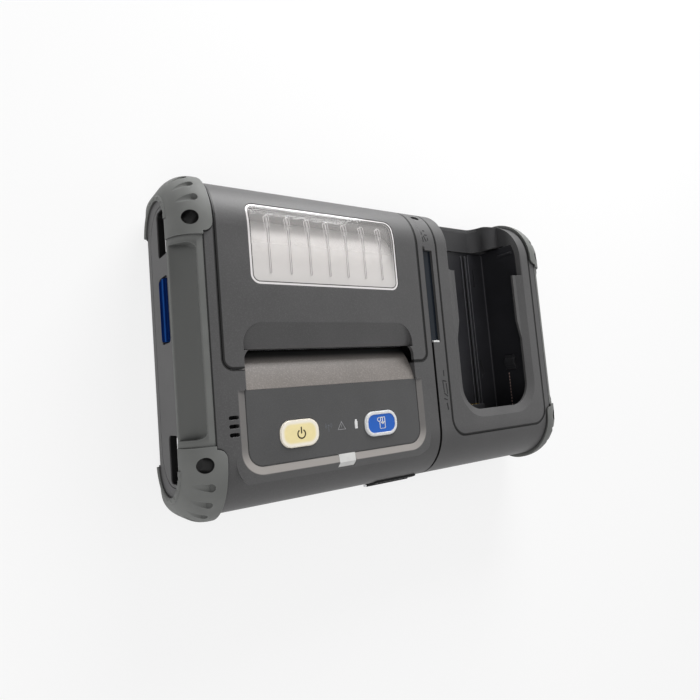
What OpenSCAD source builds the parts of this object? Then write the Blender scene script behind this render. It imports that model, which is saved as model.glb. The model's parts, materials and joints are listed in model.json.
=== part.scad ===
// Portable receipt printer with a cradle for a handheld computer, lying on its back.
// X runs along the length, Y up the front face, Z out of the front face.

/* [Overall] */
// Length over both rubber ends
total_l = 321; // [312:1:332]
// Height of the hard body between its lower and upper edges
body_h = 198; // [194:1:204]
// Depth of the hard body between its back and front planes
body_d = 60; // [59:0.5:64]
// Radius of the front rounding along the upper and lower edges
front_r = 34; // [32:0.5:35]
// Radius of the rear rounding along the upper and lower edges
rear_r = 24; // [20:0.5:25]
// Wall thickness of the moulded shells
wall = 2.6; // [2.2:0.1:3]
// Width of the gap along the seams
seam = 0.4; // [0.2:0.05:0.6]

/* [Rubber ends] */
// Length of each rubber end
end_w = 16.5; // [15:0.5:18]
// How far the corner lobes reach over the shell
lobe_over = 5.5; // [4:0.5:6]
// How far the corner lobes stand proud of the upper and lower edges
lobe_proud = 3.6; // [2.4:0.2:4.4]
// How far the corner lobes stand proud of the front plane
lobe_front = 1.5; // [1:0.1:2]
// How far the corner lobes stand below the back plane
foot = 1; // [0.6:0.1:1.6]
// Rounding of the rubber ends along the front
corner_r = 19; // [16:0.5:19.5]
// Rounding of the rubber ends along the back
back_r = 8; // [6:0.5:10]
// Radius of the hollow channel between the lobes
channel_r = 13.5; // [12:0.5:14]
// Thickness of the rubber in the channel between the lobes
channel_t = 2.6; // [2:0.2:3.2]
// Length of each strap slot
strap_l = 27; // [24:1:28]
// Clear height of each strap slot
strap_h = 16.5; // [14:0.5:17]
// Radius of the lanyard holes in the corners
lanyard_r = 4; // [3:0.25:4.5]
// Number of finger grooves in each corner lobe
groove_count = 5; // [3:1:6]
// Radius of the finger grooves
groove_r = 2.4; // [1.8:0.1:2.6]

/* [Paper cover] */
// Width of the paper cover
cover_w = 150; // [148:0.5:152]
// Width of the shell strip beside the cover
strip_w = 7; // [6.5:0.25:8]
// Width of the window
window_w = 110; // [104:1:114]
// Height of the window
window_h = 49.5; // [46:0.5:52]
// Thickness of the window
window_t = 2; // [1.6:0.1:2.2]
// Number of ribs on the window
rib_count = 7; // [5:1:9]
// Spacing of the window ribs
rib_pitch = 13.9; // [12:0.1:14]
// Width of the paper exit
exit_w = 125; // [122:0.5:127]

/* [Paper and print mechanism] */
// Radius of a full paper roll
roll_r = 25.5; // [22:0.5:25.5]
// Width of the paper roll
roll_w = 112; // [108:1:113]
// Outer radius of the cardboard core
core_r = 6.5; // [6:0.1:8]
// Wall of the cardboard core
core_t = 1.2; // [0.8:0.1:1.6]
// Radius of the rubber platen roller
platen_r = 7; // [6:0.1:7.2]
// Radius of the platen shaft
shaft_r = 2.5; // [2:0.1:3]
// Running clearance between shafts and bushes
run_gap = 0.05; // [0.02:0.01:0.09]
// Gear module
gear_m = 1; // [0.9:0.05:1.1]
// Teeth on the motor pinion
pinion_n = 14; // [13:1:15]
// Teeth on the idler gear
idler_n = 24; // [23:1:25]
// Teeth on the platen gear
platen_n = 18; // [17:1:19]
// Face width of the gears
gear_w = 5; // [4:0.5:6]
// Thickness of the mechanism's side plates
plate_t = 1.6; // [1.2:0.1:2]
// Radius of the stepper motor
motor_r = 13; // [11:0.5:14]
// Length of the stepper motor
motor_l = 22; // [18:1:26]

/* [Front layout] */
// Height of the panel's lower edge above the lower edge of the body
panel_up = 26.6; // [25:0.2:28]
// Height of the paper ramp between the panel and the cover
ramp_h = 23.4; // [22:0.2:24]
// Length of the cover's legs on both sides of the exit
leg_l = 11.2; // [10:0.2:12]
// Height of the scoop in the cover above the exit
scoop_h = 15.3; // [14:0.1:17]
// Depth of the scoop at the exit
scoop_deep = 4; // [3:0.2:4.4]
// Distance from the exit edge to the window
window_up = 37.5; // [36:0.5:39]

/* [Control panel] */
// Width of the control panel
panel_w = 126; // [122:1:128]
// Height of the control panel
panel_h = 43; // [40:0.5:44]
// Thickness of the control panel plate
panel_t = 1.6; // [1.2:0.1:2]
// Depth of the panel below the front plane
panel_deep = 1.4; // [1:0.1:1.8]
// Width of the sloping frame round the panel
frame_w = 4.6; // [3.6:0.2:5]
// Width of each key
key_w = 26; // [22:0.5:28]
// Height of each key
key_h = 16; // [14:0.5:17]
// Distance of each key from the middle of the panel
key_dx = 30.2; // [26:0.2:32]
// Travel of the keys
key_travel = 1.2; // [0.8:0.1:1.4]
// Height of the keys above the panel
key_proud = 0.9; // [0.6:0.1:1.2]
// Width of the light pipe
light_w = 12; // [10:0.5:14]

/* [Card slot] */
// Width of the card slot
slot_w = 1.6; // [1.2:0.1:2]
// Depth of the card slot below the front plane
slot_deep = 15; // [13:0.5:16]
// Width of the glossy card guide
guide_w = 6.6; // [5:0.2:7]
// Length of the glossy card guide
guide_l = 67; // [60:1:72]

/* [Cradle] */
// Width of the pocket for the handheld
dock_w = 84; // [80:1:86]
// Height of the pocket floor above the table
dock_floor = 19; // [18:0.5:21]
// Thickness of the pocket liner
liner_t = 2.4; // [2:0.1:2.8]
// Thickness of the lips that hold the handheld
lip_t = 5; // [4.5:0.5:6]
// Width of the clear opening between the lips
lip_gap = 74; // [72:1:76]
// How far the ears on the lips stand into the opening
ear = 3.4; // [2:0.2:4]
// Travel of the side latch
latch_travel = 3; // [2:0.5:4]
// Width of the dock connector
dock_conn_w = 26; // [22:1:30]

/* [Release and ports] */
// Length of the cover release button
release_l = 36; // [32:1:38]
// Travel of the cover release button
release_travel = 3; // [2:0.5:3.5]
// Width of the rubber port cover
port_w = 35; // [32:1:38]

/* [Hidden] */
$fn = 72;

z_front = foot + body_d;
split_z = z_front - front_r - 1;
half_h = body_h / 2;
shell_x = total_l / 2 - end_w;
end_x = total_l / 2;
cap_x = end_x - 1.5;

cover_x0 = strip_w - shell_x;
cover_x1 = cover_x0 + cover_w;
cover_cx = (cover_x0 + cover_x1) / 2;
cover_r = 6;
panel_y0 = panel_up - half_h;
panel_y1 = panel_y0 + panel_h;
edge_y = panel_y1 + ramp_h;
leg_y = edge_y - leg_l;
window_y0 = edge_y + window_up;
window_y1 = window_y0 + window_h;
step_t = wall / 2;

hinge_r = 3;
hinge_y = half_h - hinge_r - 0.2;
hinge_z = split_z;
hinge_pin_r = 1.2;
knuckle_l = 10;
knuckle_x = [cover_x0 + 4, cover_cx - knuckle_l / 2, cover_x1 - 4 - knuckle_l];
knuckle_gap = 0.4;
barrel_gap = 0.6;

roll_y = window_y0 + 21.5;
roll_z = foot + wall + 0.9 + roll_r;
bay_r = roll_r + 1;
bay_t = 1.6;
bay_x = roll_w / 2 + 3;
hub_t = 2.7;
hub_r = core_r - core_t - 0.08;

nip_z = z_front - 14;
nip_gap = 0.3;
platen_y = edge_y + 8;
platen_zc = nip_z - platen_r;
motor_y = platen_y - 26;
motor_z = platen_zc - 19;
plate_x0 = cover_cx - bay_x - plate_t;
plate_x1 = cover_cx + bay_x;
gear_x = plate_x0 - 2 - gear_w;
bush_r = shaft_r + 1.6;
pressure = 20;
backlash = 0.1;
link_a = gear_m * (pinion_n + idler_n) / 2;
link_b = gear_m * (idler_n + platen_n) / 2;
link_d = norm([platen_y - motor_y, platen_zc - motor_z]);
link_s = (link_d * link_d + link_a * link_a - link_b * link_b) / (2 * link_d);
link_h = sqrt(link_a * link_a - link_s * link_s);
link_u = [platen_y - motor_y, platen_zc - motor_z] / link_d;
idler_y = motor_y + link_s * link_u[0] + link_h * link_u[1];
idler_zc = motor_z + link_s * link_u[1] - link_h * link_u[0];
idler_pin_r = 2;
motor_shaft_r = 1.5;

ramp_t = 2;
ramp_r = 50;
ramp_in = [edge_y + 1, nip_z - 1];
ramp_out = [panel_y1, z_front - panel_deep];
ramp_mid = (ramp_in + ramp_out) / 2;
ramp_chord = ramp_out - ramp_in;
ramp_rise = sqrt(ramp_r * ramp_r - pow(norm(ramp_chord) / 2, 2)) / norm(ramp_chord);
ramp_c = ramp_mid + ramp_rise * [-ramp_chord[1], ramp_chord[0]];

panel_z = z_front - panel_deep;
floor_z1 = panel_z - panel_t;
floor_z0 = floor_z1 - wall;
key_y = panel_y0 + 15.8;
key_gap = 0.3;
flange_t = 0.8;
flange_z = floor_z0 - key_gap - flange_t;
dome_h = 2.9;
key_pcb_t = 1.4;
key_pcb_z = flange_z - dome_h - key_pcb_t;
key_pcb_x = key_dx + key_w / 2 + 10.8;
light_x = cover_cx + 1.6;

slot_x0 = cover_x1 + 5.6;
slot_x1 = slot_x0 + slot_w;
slot_z = z_front - slot_deep;
guide_y1 = window_y0 + 31;
guide_deep = 2.2;
reader_l = 22;

bezel_x0 = slot_x1 + 11.6;
bezel_x1 = shell_x - strip_w;
bezel_y0 = panel_y0;
bezel_r = 13;
pocket_x = (bezel_x0 + bezel_x1) / 2 + 0.6;
pocket_y0 = bezel_y0 + 16.9;
lip_z = z_front - lip_t;
lip_y = half_h - 49;
ear_y = pocket_y0 + 60.5;
mouth_r = 18;
bevel_deep = 3;
bevel_w = 5.8;
head_r = 9;
plateau_z = dock_floor + 1.4;
pocket_end = pocket_y0 - 2.5;
liner_top = half_h - 21;
latch_y = pocket_y0 + 35;
latch_z = dock_floor + 21;

board_z = foot + 13;
screw_at = [
    [-shell_x + 14, panel_y0 - 2],
    [cover_x1 - 2, panel_y0 - 2],
    [slot_x1 + 6, panel_y0 - 5.6],
    [slot_x1 + 6, half_h - 21],
    [bezel_x1 - 5, panel_y0 - 5.6]
];
screw_r = 1.5;
battery_x0 = pocket_x - dock_w / 2 + 6;
battery_x1 = pocket_x + dock_w / 2 - 6;
battery_y0 = pocket_y0 + 8;
battery_y1 = battery_y0 + dock_w - 12;

release_y = edge_y + 26;
release_z0 = foot + 26;
release_z1 = foot + 39.5;
release_gap = 1.2;
bar_y = release_y - 3;
bar_w = 5;
bar_z0 = nip_z + 1;
bar_h = 4;

port_x = cover_x1 - 20.5;
port_z0 = split_z + 0.8;
port_h = 13;
flap_t = 1.4;

strap_y0 = half_h - 48;
strap_z1 = foot + 43;
bar_t = 5;
lobe_y = half_h - 41;
lap_y = lobe_y + 2;
lobe_h = half_h + lobe_proud;
lobe_z = z_front + lobe_front;
lobe_zc = foot + rear_r;
lobe_x = end_x - 0.7;
arch_y = half_h - 32.2;
arch_r = 19.3;
lip_r = 1.7;
lanyard_x = end_x - 10.5;
lanyard_y = half_h - 31.5;

module bar(x0, x1) {
    translate([x0, 0, 0]) rotate([90, 0, 90]) linear_extrude(x1 - x0) children();
}

module span_y(y0, y1) {
    translate([0, y1, 0]) rotate([90, 0, 0]) linear_extrude(y1 - y0) children();
}

module upright(z0, z1) {
    translate([0, 0, z0]) linear_extrude(z1 - z0) children();
}

module rod(x0, x1, y, z, r) {
    translate([x0, y, z]) rotate([0, 90, 0]) cylinder(h = x1 - x0, r = r);
}

module box(a, b) {
    translate(a) cube(b - a);
}

module both() {
    children();
    mirror([0, 1, 0]) children();
}

module round_rect(x0, y0, x1, y1, r) {
    translate([x0 + r, y0]) square([x1 - x0 - 2 * r, y1 - y0]);
    translate([x0, y0 + r]) square([x1 - x0, y1 - y0 - 2 * r]);
    for (x = [x0 + r, x1 - r], y = [y0 + r, y1 - r]) translate([x, y]) circle(r);
}

// The body's cross-section, grown by g; across is Y and up is Z
module section(g) {
    front_y = half_h - front_r;
    front_z = z_front - front_r;
    back_y = half_h - rear_r;
    back_z = foot + rear_r;
    far = 200;
    intersection() {
        union() {
            for (s = [-1, 1]) translate([s * front_y, front_z]) circle(front_r + g, $fn = 144);
            translate([-front_y, front_z]) square([2 * front_y, front_r + g]);
        }
        translate([-far, front_z]) square([2 * far, far]);
    }
    intersection() {
        union() {
            for (s = [-1, 1]) translate([s * back_y, back_z]) circle(rear_r + g, $fn = 144);
            translate([-back_y, foot - g]) square([2 * back_y, rear_r + g]);
        }
        translate([-far, back_z - far]) square([2 * far, far]);
    }
    translate([-half_h - g, back_z]) square([2 * (half_h + g), front_z - back_z]);
}

module above(z) {
    intersection() {
        children();
        box([-end_x - 5, -half_h - 20, z], [end_x + 5, half_h + 20, z_front + 20]);
    }
}

module below(z) {
    intersection() {
        children();
        box([-end_x - 5, -half_h - 20, -20], [end_x + 5, half_h + 20, z]);
    }
}

module shell(x0, x1, t) {
    difference() {
        bar(x0, x1) section(0);
        bar(x0 - 1, x1 + 1) section(-t);
    }
}

module screw_boss(p, z0, z1, bore) {
    intersection() {
        difference() {
            translate([p[0], p[1], z0]) cylinder(h = z1 - z0, r = 4);
            translate([p[0], p[1], z0 - 1]) cylinder(h = z1 - z0 + 2, r = bore);
        }
        bar(p[0] - 5, p[0] + 5) section(-wall / 2);
    }
}

// One knuckle segment of the cover hinge
module knuckle(x0, x1, bore) {
    difference() {
        rod(x0, x1, hinge_y, hinge_z, hinge_r);
        rod(x0 - 1, x1 + 1, hinge_y, hinge_z, bore);
    }
}

module battery_outline(g) {
    round_rect(battery_x0 - g, battery_y0 - g, battery_x1 + g, battery_y1 + g, 4);
}

module rear_housing() {
    color([0.2, 0.2, 0.21]) difference() {
        union() {
            below(split_z) shell(-shell_x, shell_x, wall);
            for (p = screw_at) screw_boss(p, foot + wall - 0.5, split_z, screw_r + 0.1);
            for (x = [cover_cx - 54, cover_cx + 54], y = [panel_y0 - 12, panel_y1 - 16])
                screw_boss([x, y], foot + wall - 0.5, board_z, 1.2);
            intersection() {
                barrel_blocks();
                bar(-shell_x, shell_x) section(0);
            }
        }
        for (p = screw_at) {
            translate([p[0], p[1], -1]) cylinder(h = 60, r = screw_r + 0.1);
            translate([p[0], p[1], -1]) cylinder(h = foot + 5.2, r = 3.3);
        }
        upright(foot - 1, foot + wall + 1) battery_outline(seam / 2);
        rod(cover_x0, cover_x1, hinge_y, hinge_z, hinge_pin_r);
        for (x = knuckle_x) rod(x - knuckle_gap, x + knuckle_l + knuckle_gap, hinge_y, hinge_z, hinge_r + 2.2);
        span_y(half_h - 30, half_h + 1) head_profile();
    }
    color([0.2, 0.2, 0.21]) difference() {
        upright(foot + wall - step_t, foot + wall) battery_outline(2.4);
        upright(foot, foot + wall + 1) battery_outline(-1.6);
    }
}

// Barrel that carries the cover, left solid between the cover's own knuckles
module barrel_blocks() {
    rod(cover_x0 + 0.2, cover_x1 - 0.2, hinge_y, hinge_z, hinge_r);
    box([cover_x0 + 0.2, hinge_y - hinge_r, hinge_z - 6], [cover_x1 - 0.2, half_h, hinge_z]);
}

module cover_outline(g) {
    difference() {
        round_rect(cover_x0 - g, leg_y - g, cover_x1 + g, half_h + 30, cover_r + g);
        exit_outline(-g);
    }
}

module exit_outline(g) {
    round_rect(cover_cx - exit_w / 2 - g, edge_y - 60, cover_cx + exit_w / 2 + g, edge_y + g, cover_r);
}

module panel_outline(g) {
    difference() {
        round_rect(cover_cx - panel_w / 2 - g, panel_y0 - g, cover_cx + panel_w / 2 + g, panel_y1 + 30, 9 + g);
        translate([cover_cx - 100, panel_y1]) square([200, 60]);
    }
}

module key_outline(s, g) {
    x = cover_cx + s * key_dx;
    round_rect(x - key_w / 2 - g, key_y - key_h / 2 - g, x + key_w / 2 + g, key_y + key_h / 2 + g, 7 + g);
}

module speaker_slots() {
    for (i = [-1, 0, 1]) {
        y = panel_y0 + 23.8 + i * 4.7;
        upright(z_front - 8, z_front + 5) round_rect(cover_x0 + 1, y - 1.1, cover_x0 + 7, y + 1.1, 1.09);
    }
}

module port_opening() {
    box([port_x - 13.5, -half_h - 3, port_z0 + 2], [port_x + 13.5, -half_h + 9, port_z0 + 10.6]);
}

module front_plateau() {
    z = z_front;
    intersection() {
        bar(-shell_x, slot_x0) polygon([
            [panel_y1, floor_z0], [panel_y1, z], [panel_y0 - frame_w - 0.6, z],
            [panel_y0 - frame_w - 6, z - 5.6], [panel_y0 - frame_w - 6, floor_z0 - 0.5],
            [panel_y0 - frame_w - 1, floor_z0 - 0.5], [panel_y0 - frame_w - 1, floor_z0]
        ]);
        upright(0, z + 5)
            round_rect(cover_cx - panel_w / 2 - 8, panel_y0 - frame_w - 6, cover_cx + panel_w / 2 + 8, panel_y1 + 30, 14);
    }
}

module printer_housing() {
    color([0.3, 0.3, 0.31]) difference() {
        union() {
            above(split_z) shell(-shell_x, slot_x0, wall);
            above(split_z) intersection() {
                bar(slot_x0 - wall, slot_x0) section(0);
                union() {
                    box([0, -half_h, slot_z - 1], [60, half_h, z_front]);
                    box([0, -half_h, split_z], [60, panel_y1, z_front]);
                }
            }
            front_plateau();
            upright(floor_z0, z_front - wall + 0.5) panel_outline(frame_w + 1);
            slot_floor();
            for (i = [0, 1]) screw_boss(screw_at[i], split_z, z_front - wall, 1.25);
            for (x = [cover_cx - exit_w / 2 - bay_t, cover_cx + exit_w / 2])
                box([x, panel_y1 - 2, nip_z - 3], [x + bay_t, leg_y - seam, z_front - wall / 2]);
            for (s = [-1, 0, 1], y = [key_y - 6, key_y + 6])
                screw_boss([cover_cx + s * 49.5, y], key_pcb_z + key_pcb_t, floor_z0 + 0.5, 1);
        }
        upright(floor_z1, z_front + 5) panel_outline(0);
        hull() {
            upright(panel_z, panel_z + 0.01) panel_outline(0, $fn = 32);
            upright(z_front + 0.5, z_front + 0.51) panel_outline(frame_w + 1.6, $fn = 32);
        }
        for (s = [-1, 1]) upright(floor_z0 - 1, z_front) key_outline(s, 0.3);
        upright(split_z - 1, z_front + 5) cover_opening();
        upright(nip_z - 20, z_front + 5)
            round_rect(cover_cx - exit_w / 2, panel_y1, cover_cx + exit_w / 2, panel_y1 + 40, 0.5);
        box([light_x - light_w / 2 - 0.1, panel_y0 - 8.2, floor_z0 - 5], [light_x + light_w / 2 + 0.1, panel_y0 + 0.1, z_front + 2]);
        speaker_slots();
        port_opening();
        for (i = [0, 1]) translate([screw_at[i][0], screw_at[i][1], split_z - 1]) cylinder(h = 20, r = 1.25);
    }
}

module cover_opening() {
    round_rect(cover_x0 - seam, leg_y - seam, cover_x1 + seam, half_h + 30, cover_r + seam);
}

// Floor of the card slot, which follows the lower edge of the body
module slot_floor() {
    intersection() {
        bar(slot_x0 - 0.5, slot_x1) section(-wall);
        box([0, -half_h, slot_z - 1.6], [60, guide_y1, slot_z]);
    }
}

module bezel_outline(g) {
    round_rect(bezel_x0 - g, bezel_y0 - g, bezel_x1 + g, half_h + 60, bezel_r + g);
}

module cradle_housing() {
    color([0.29, 0.29, 0.3]) difference() {
        union() {
            above(split_z) shell(slot_x1, shell_x, wall);
            above(split_z) bar(slot_x1, slot_x1 + wall) section(0);
            above(split_z) intersection() {
                shell(slot_x0 + 0.1, slot_x1 + 1, wall);
                box([0, guide_y1 + 0.4, 0], [60, half_h, z_front]);
            }
            for (i = [2, 3, 4]) screw_boss(screw_at[i], split_z, z_front - 7, 1.25);
            box([slot_x1 + 0.2, guide_y1 - guide_l - 2, z_front - 7], [bezel_x0 - 2.5, guide_y1 + 2, z_front - wall + 0.5]);
        }
        upright(0, z_front + 5) bezel_outline(seam);
        upright(z_front - 5, z_front + 5)
            round_rect(slot_x1 - 3, guide_y1 - guide_l, slot_x1 + 0.4 + guide_w, guide_y1, 0.5);
        box([slot_x1 - 1, guide_y1 - 60, slot_z + 0.5], [slot_x1 + 5, guide_y1 - 60 + reader_l, z_front - 7.5]);
        translate([slot_x1 + 3.2, half_h - 9.5, z_front - 11]) rotate([-45, 0, 0])
            upright(-1, 14) round_rect(-3.6, -2.4, 3.6, 2.4, 2.3);
        for (i = [2, 3, 4]) translate([screw_at[i][0], screw_at[i][1], split_z - 1]) cylinder(h = 20, r = 1.25);
    }
}

// Seam of the rubber ends seen from the front, for the end at negative X
module rubber_plan() {
    translate([-end_x - 1, -half_h - 10]) square([end_w + 1, body_h + 20]);
    for (s = [-1, 1]) translate([0, s * (lap_y + 40)])
        round_rect(-end_x - 20, -40, lobe_over - shell_x, 40, 5.4);
}

// Long edge of a rubber end, turned about the line (y, lobe_zc) with radius reach
module turned_edge(y, reach, x, r) {
    translate([0, y, lobe_zc]) rotate([0, 90, 0]) rotate_extrude($fn = 144) intersection() {
        round_rect(-reach, -x, reach, -x + 80, r);
        translate([0, -x]) square([reach, 70]);
    }
}

// Rounded end of the body: h is its half height, z0 and z1 are its back and front,
// x is the end plane, r rounds the front and the corners and rb rounds the back
module end_form(h, z0, z1, x, r, rb) {
    front_y = h - (z1 - lobe_zc);
    back_y = h - (lobe_zc - z0);
    both() intersection() {
        turned_edge(front_y, z1 - lobe_zc, x, r);
        box([-x - 1, front_y, lobe_zc], [0, h + 1, z1 + 1]);
    }
    span_y(-front_y, front_y) intersection() {
        round_rect(-x, z0 - 100, -x + 80, z1, r);
        translate([-x - 1, lobe_zc]) square([90, 100]);
    }
    intersection() {
        upright(z0, lobe_zc) round_rect(-x, -h, -x + 80, h, r);
        union() {
            both() intersection() {
                turned_edge(back_y, lobe_zc - z0, x, rb);
                box([-x - 1, back_y, z0 - 1], [0, h + 1, lobe_zc]);
            }
            span_y(-back_y, back_y) intersection() {
                round_rect(-x, z0, -x + 80, z0 + 200, rb);
                translate([-x - 1, z0 - 1]) square([90, lobe_zc - z0 + 1]);
            }
        }
    }
}

// The channel between the lobes is part of a cylinder about this line
channel_c = [-end_x - 0.8, z_front - 1.3];

module channel(r) {
    span_y(-lobe_y, lobe_y) translate(channel_c) circle(r, $fn = 96);
}

// The hard core inside the rubber, drawn for the end at negative X
module cap_core() {
    difference() {
        intersection() {
            end_form(half_h - 1, foot + 0.5, z_front - 1.5, cap_x, corner_r - 3.5, back_r - 2);
            box([-end_x, -half_h, 0], [-shell_x, half_h, z_front]);
        }
        channel(channel_r + channel_t);
    }
}

module strap_cuts() {
    both() {
        y1 = strap_y0 + strap_l;
        bar(-end_x - 5, -end_x + bar_t + 2) round_rect(strap_y0, strap_z1 - strap_h, y1, strap_z1, 3);
        box([-end_x + bar_t + 1, strap_y0, -5], [-shell_x - 2, y1, strap_z1]);
        translate([-lanyard_x, lanyard_y, strap_z1 - 1]) cylinder(h = 40, r = lanyard_r);
    }
}

// Parting line of the end plate
module plate_line(g) {
    y = strap_y0 + strap_l + 2 + g;
    bar(-cap_x - 1, -cap_x + 0.6) round_rect(-y, lobe_zc - 12.2 - g, y, z_front + 30, arch_r + g);
}

module end_cap() {
    difference() {
        cap_core();
        difference() {
            intersection() {
                bar(-cap_x + 3.4, -shell_x + 1) section(-wall - 2);
                box([-end_x, -strap_y0 + 2.5, 0], [0, strap_y0 - 2.5, z_front - 12]);
            }
            channel(channel_r + channel_t + 1.6);
        }
        strap_cuts();
        difference() {
            plate_line(0.25);
            plate_line(-0.25);
        }
    }
}

module left_end_cap() {
    color([0.26, 0.27, 0.29]) difference() {
        end_cap();
        span_release(-cap_x - 1, -cap_x + 1.6, release_gap);
        span_release(-cap_x - 1, -cap_x + 4, 0.3);
    }
}

module span_release(x0, x1, g) {
    bar(x0, x1) round_rect(
        release_y - release_l / 2 - g, release_z0 - g, release_y + release_l / 2 + g, release_z1 + g, 2.5
    );
}

module right_end_cap() {
    color([0.26, 0.27, 0.29]) mirror([1, 0, 0]) end_cap();
}

// Finger groove in the upper lobe, at angle a round its edge
module lobe_groove(a) {
    reach = lobe_z - lobe_zc;
    bend = corner_r - 1.8;
    c = [corner_r - lobe_x - 4.5, reach - corner_r + 1.25];
    end = c[0] - 1.9;
    translate([0, lobe_h - reach, lobe_zc]) rotate([a, 0, 0]) {
        intersection() {
            translate([c[0], c[1], 0]) rotate_extrude($fn = 96) translate([bend, 0]) circle(groove_r, $fn = 32);
            box([-end_x - 5, c[1], -5], [end, c[1] + 40, 5]);
        }
        translate([end, c[1] + bend - 0.1, 0]) sphere(groove_r + 0.1);
    }
}

// Opening in the rubber that shows the hard end plate
module plate_window() {
    bar(-end_x - 2, -lobe_x + 9.8) {
        for (s = [-1, 1]) translate([s * arch_y, lobe_zc]) circle(arch_r);
        translate([-arch_y, lobe_zc - arch_r]) square([2 * arch_y, 2 * arch_r]);
    }
}

// Raised lip round each end of the plate
module arch_lip() {
    both() intersection() {
        translate([lip_r - end_x, arch_y, lobe_zc]) rotate([0, 90, 0])
            rotate_extrude($fn = 96) translate([arch_r + 1.4, 0]) circle(lip_r, $fn = 32);
        box([-end_x - 5, arch_y + 3.2, 0], [0, half_h, z_front]);
    }
}

module bumper() {
    difference() {
        union() {
            difference() {
                intersection() {
                    end_form(lobe_h, 0, lobe_z, lobe_x, corner_r, back_r);
                    upright(-1, 100) rubber_plan();
                }
                box([-end_x - 1, -lobe_y, -1], [0, lobe_y, 100]);
            }
            intersection() {
                span_y(-lobe_y, lobe_y) round_rect(0.5 - lobe_x, 0, -shell_x + 60, z_front, corner_r - 0.6);
                box([-end_x, -lobe_y, lobe_zc - 5], [-shell_x, lobe_y, z_front]);
            }
            arch_lip();
        }
        bar(-shell_x, 0) section(0);
        cap_core();
        plate_window();
        box([-end_x - 1, -lobe_y - 11, -1], [-shell_x - 8, lobe_y + 11, lobe_zc - 5]);
        intersection() {
            channel(channel_r);
            upright(0, 100) round_rect(-end_x - 20, 4 - lobe_y, -shell_x - 3.4, lobe_y - 4, 5);
        }
        strap_cuts();
        both() for (i = [0:groove_count - 1]) lobe_groove(66 - 18.5 * i);
    }
}

module left_bumper() {
    color([0.52, 0.54, 0.53]) bumper();
}

module right_bumper() {
    color([0.52, 0.54, 0.53]) mirror([1, 0, 0]) bumper();
}

module housing_screws() {
    color("silver") for (p = screw_at) {
        difference() {
            translate([p[0], p[1], foot + 2]) cylinder(h = 2.2, r = 3);
            translate([p[0], p[1], foot]) cylinder(h = 3.2, r = 1.4, $fn = 6);
        }
        translate([p[0], p[1], foot + 4.2]) cylinder(h = split_z + 6 - foot - 4.2, r = 1.25);
    }
}

module battery_door() {
    color([0.22, 0.22, 0.23]) difference() {
        union() {
            upright(foot, foot + wall - step_t) battery_outline(-seam / 2);
            upright(foot + wall - step_t, foot + wall) battery_outline(-2);
        }
        for (i = [-2:2]) box([battery_x0 + 26, battery_y1 - 14 + i * 3, foot - 1], [battery_x1 - 26, battery_y1 - 12.8 + i * 3, foot + 0.6]);
    }
}

module battery_pack() {
    color([0.15, 0.16, 0.18]) intersection() {
        box([battery_x0 + 3, battery_y0 + 3, foot + wall], [battery_x1 - 3, battery_y1 - 3, dock_floor - liner_t - 1]);
        bar(battery_x0, battery_x1)
            round_rect(battery_y0 + 3, foot + wall - 9, battery_y1 - 3, dock_floor - liner_t - 1, 4);
    }
}

module roll_bay() {
    color([0.13, 0.13, 0.14]) {
        difference() {
            bar(cover_cx - bay_x - bay_t, cover_cx + bay_x + bay_t) bay_section(bay_r + bay_t, 0);
            bar(cover_cx - bay_x, cover_cx + bay_x) bay_section(bay_r, 1);
            for (s = [-1, 1]) rod(cover_cx + s * (bay_x + 1) - 3, cover_cx + s * (bay_x + 1) + 3, roll_y, roll_z, 3);
        }
    }
}

module bay_section(r, extra) {
    intersection() {
        union() {
            translate([roll_y, roll_z]) circle(r, $fn = 120);
            translate([roll_y - r, roll_z]) square([2 * r, 24 + extra]);
        }
        translate([roll_y - 50, foot + wall - extra]) square([100, nip_z + 3 - foot - wall + 2 * extra]);
        translate([0, 0]) section(-wall - 0.4 + extra / 10);
    }
}

module roll_hubs() {
    color([0.2, 0.2, 0.22]) for (s = [-1, 1]) {
        x = cover_cx + s * bay_x;
        x0 = s > 0 ? x - hub_t : x;
        rod(x0, x0 + hub_t, roll_y, roll_z, 12);
        rod(s > 0 ? x - 9 : x, s > 0 ? x : x + 9, roll_y, roll_z, hub_r);
        rod(s > 0 ? x : x - bay_t - 1, s > 0 ? x + bay_t + 1 : x, roll_y, roll_z, 3);
    }
}

module paper_roll() {
    color("white") difference() {
        rod(cover_cx - roll_w / 2, cover_cx + roll_w / 2, roll_y, roll_z, roll_r);
        rod(cover_cx - roll_w, cover_cx + roll_w, roll_y, roll_z, core_r);
    }
}

module paper_core() {
    color("tan") difference() {
        rod(cover_cx - roll_w / 2, cover_cx + roll_w / 2, roll_y, roll_z, core_r);
        rod(cover_cx - roll_w, cover_cx + roll_w, roll_y, roll_z, core_r - core_t);
    }
}

module window_outline(g) {
    round_rect(cover_cx - window_w / 2 - g, window_y0 - g, cover_cx + window_w / 2 + g, window_y1 + g, 6 + g / 2);
}

module scoop_cut(g) {
    intersection() {
        bar(cover_cx - exit_w / 2, cover_cx + exit_w / 2) polygon([
            [edge_y + scoop_h + g, z_front + 1 - g], [edge_y + scoop_h + g, z_front - g],
            [edge_y - 1, z_front - scoop_deep - g], [edge_y - 1, z_front + 1 - g]
        ]);
        upright(0, z_front + 5)
            round_rect(cover_cx - exit_w / 2, edge_y - 40, cover_cx + exit_w / 2, edge_y + scoop_h, 13);
    }
}

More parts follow.
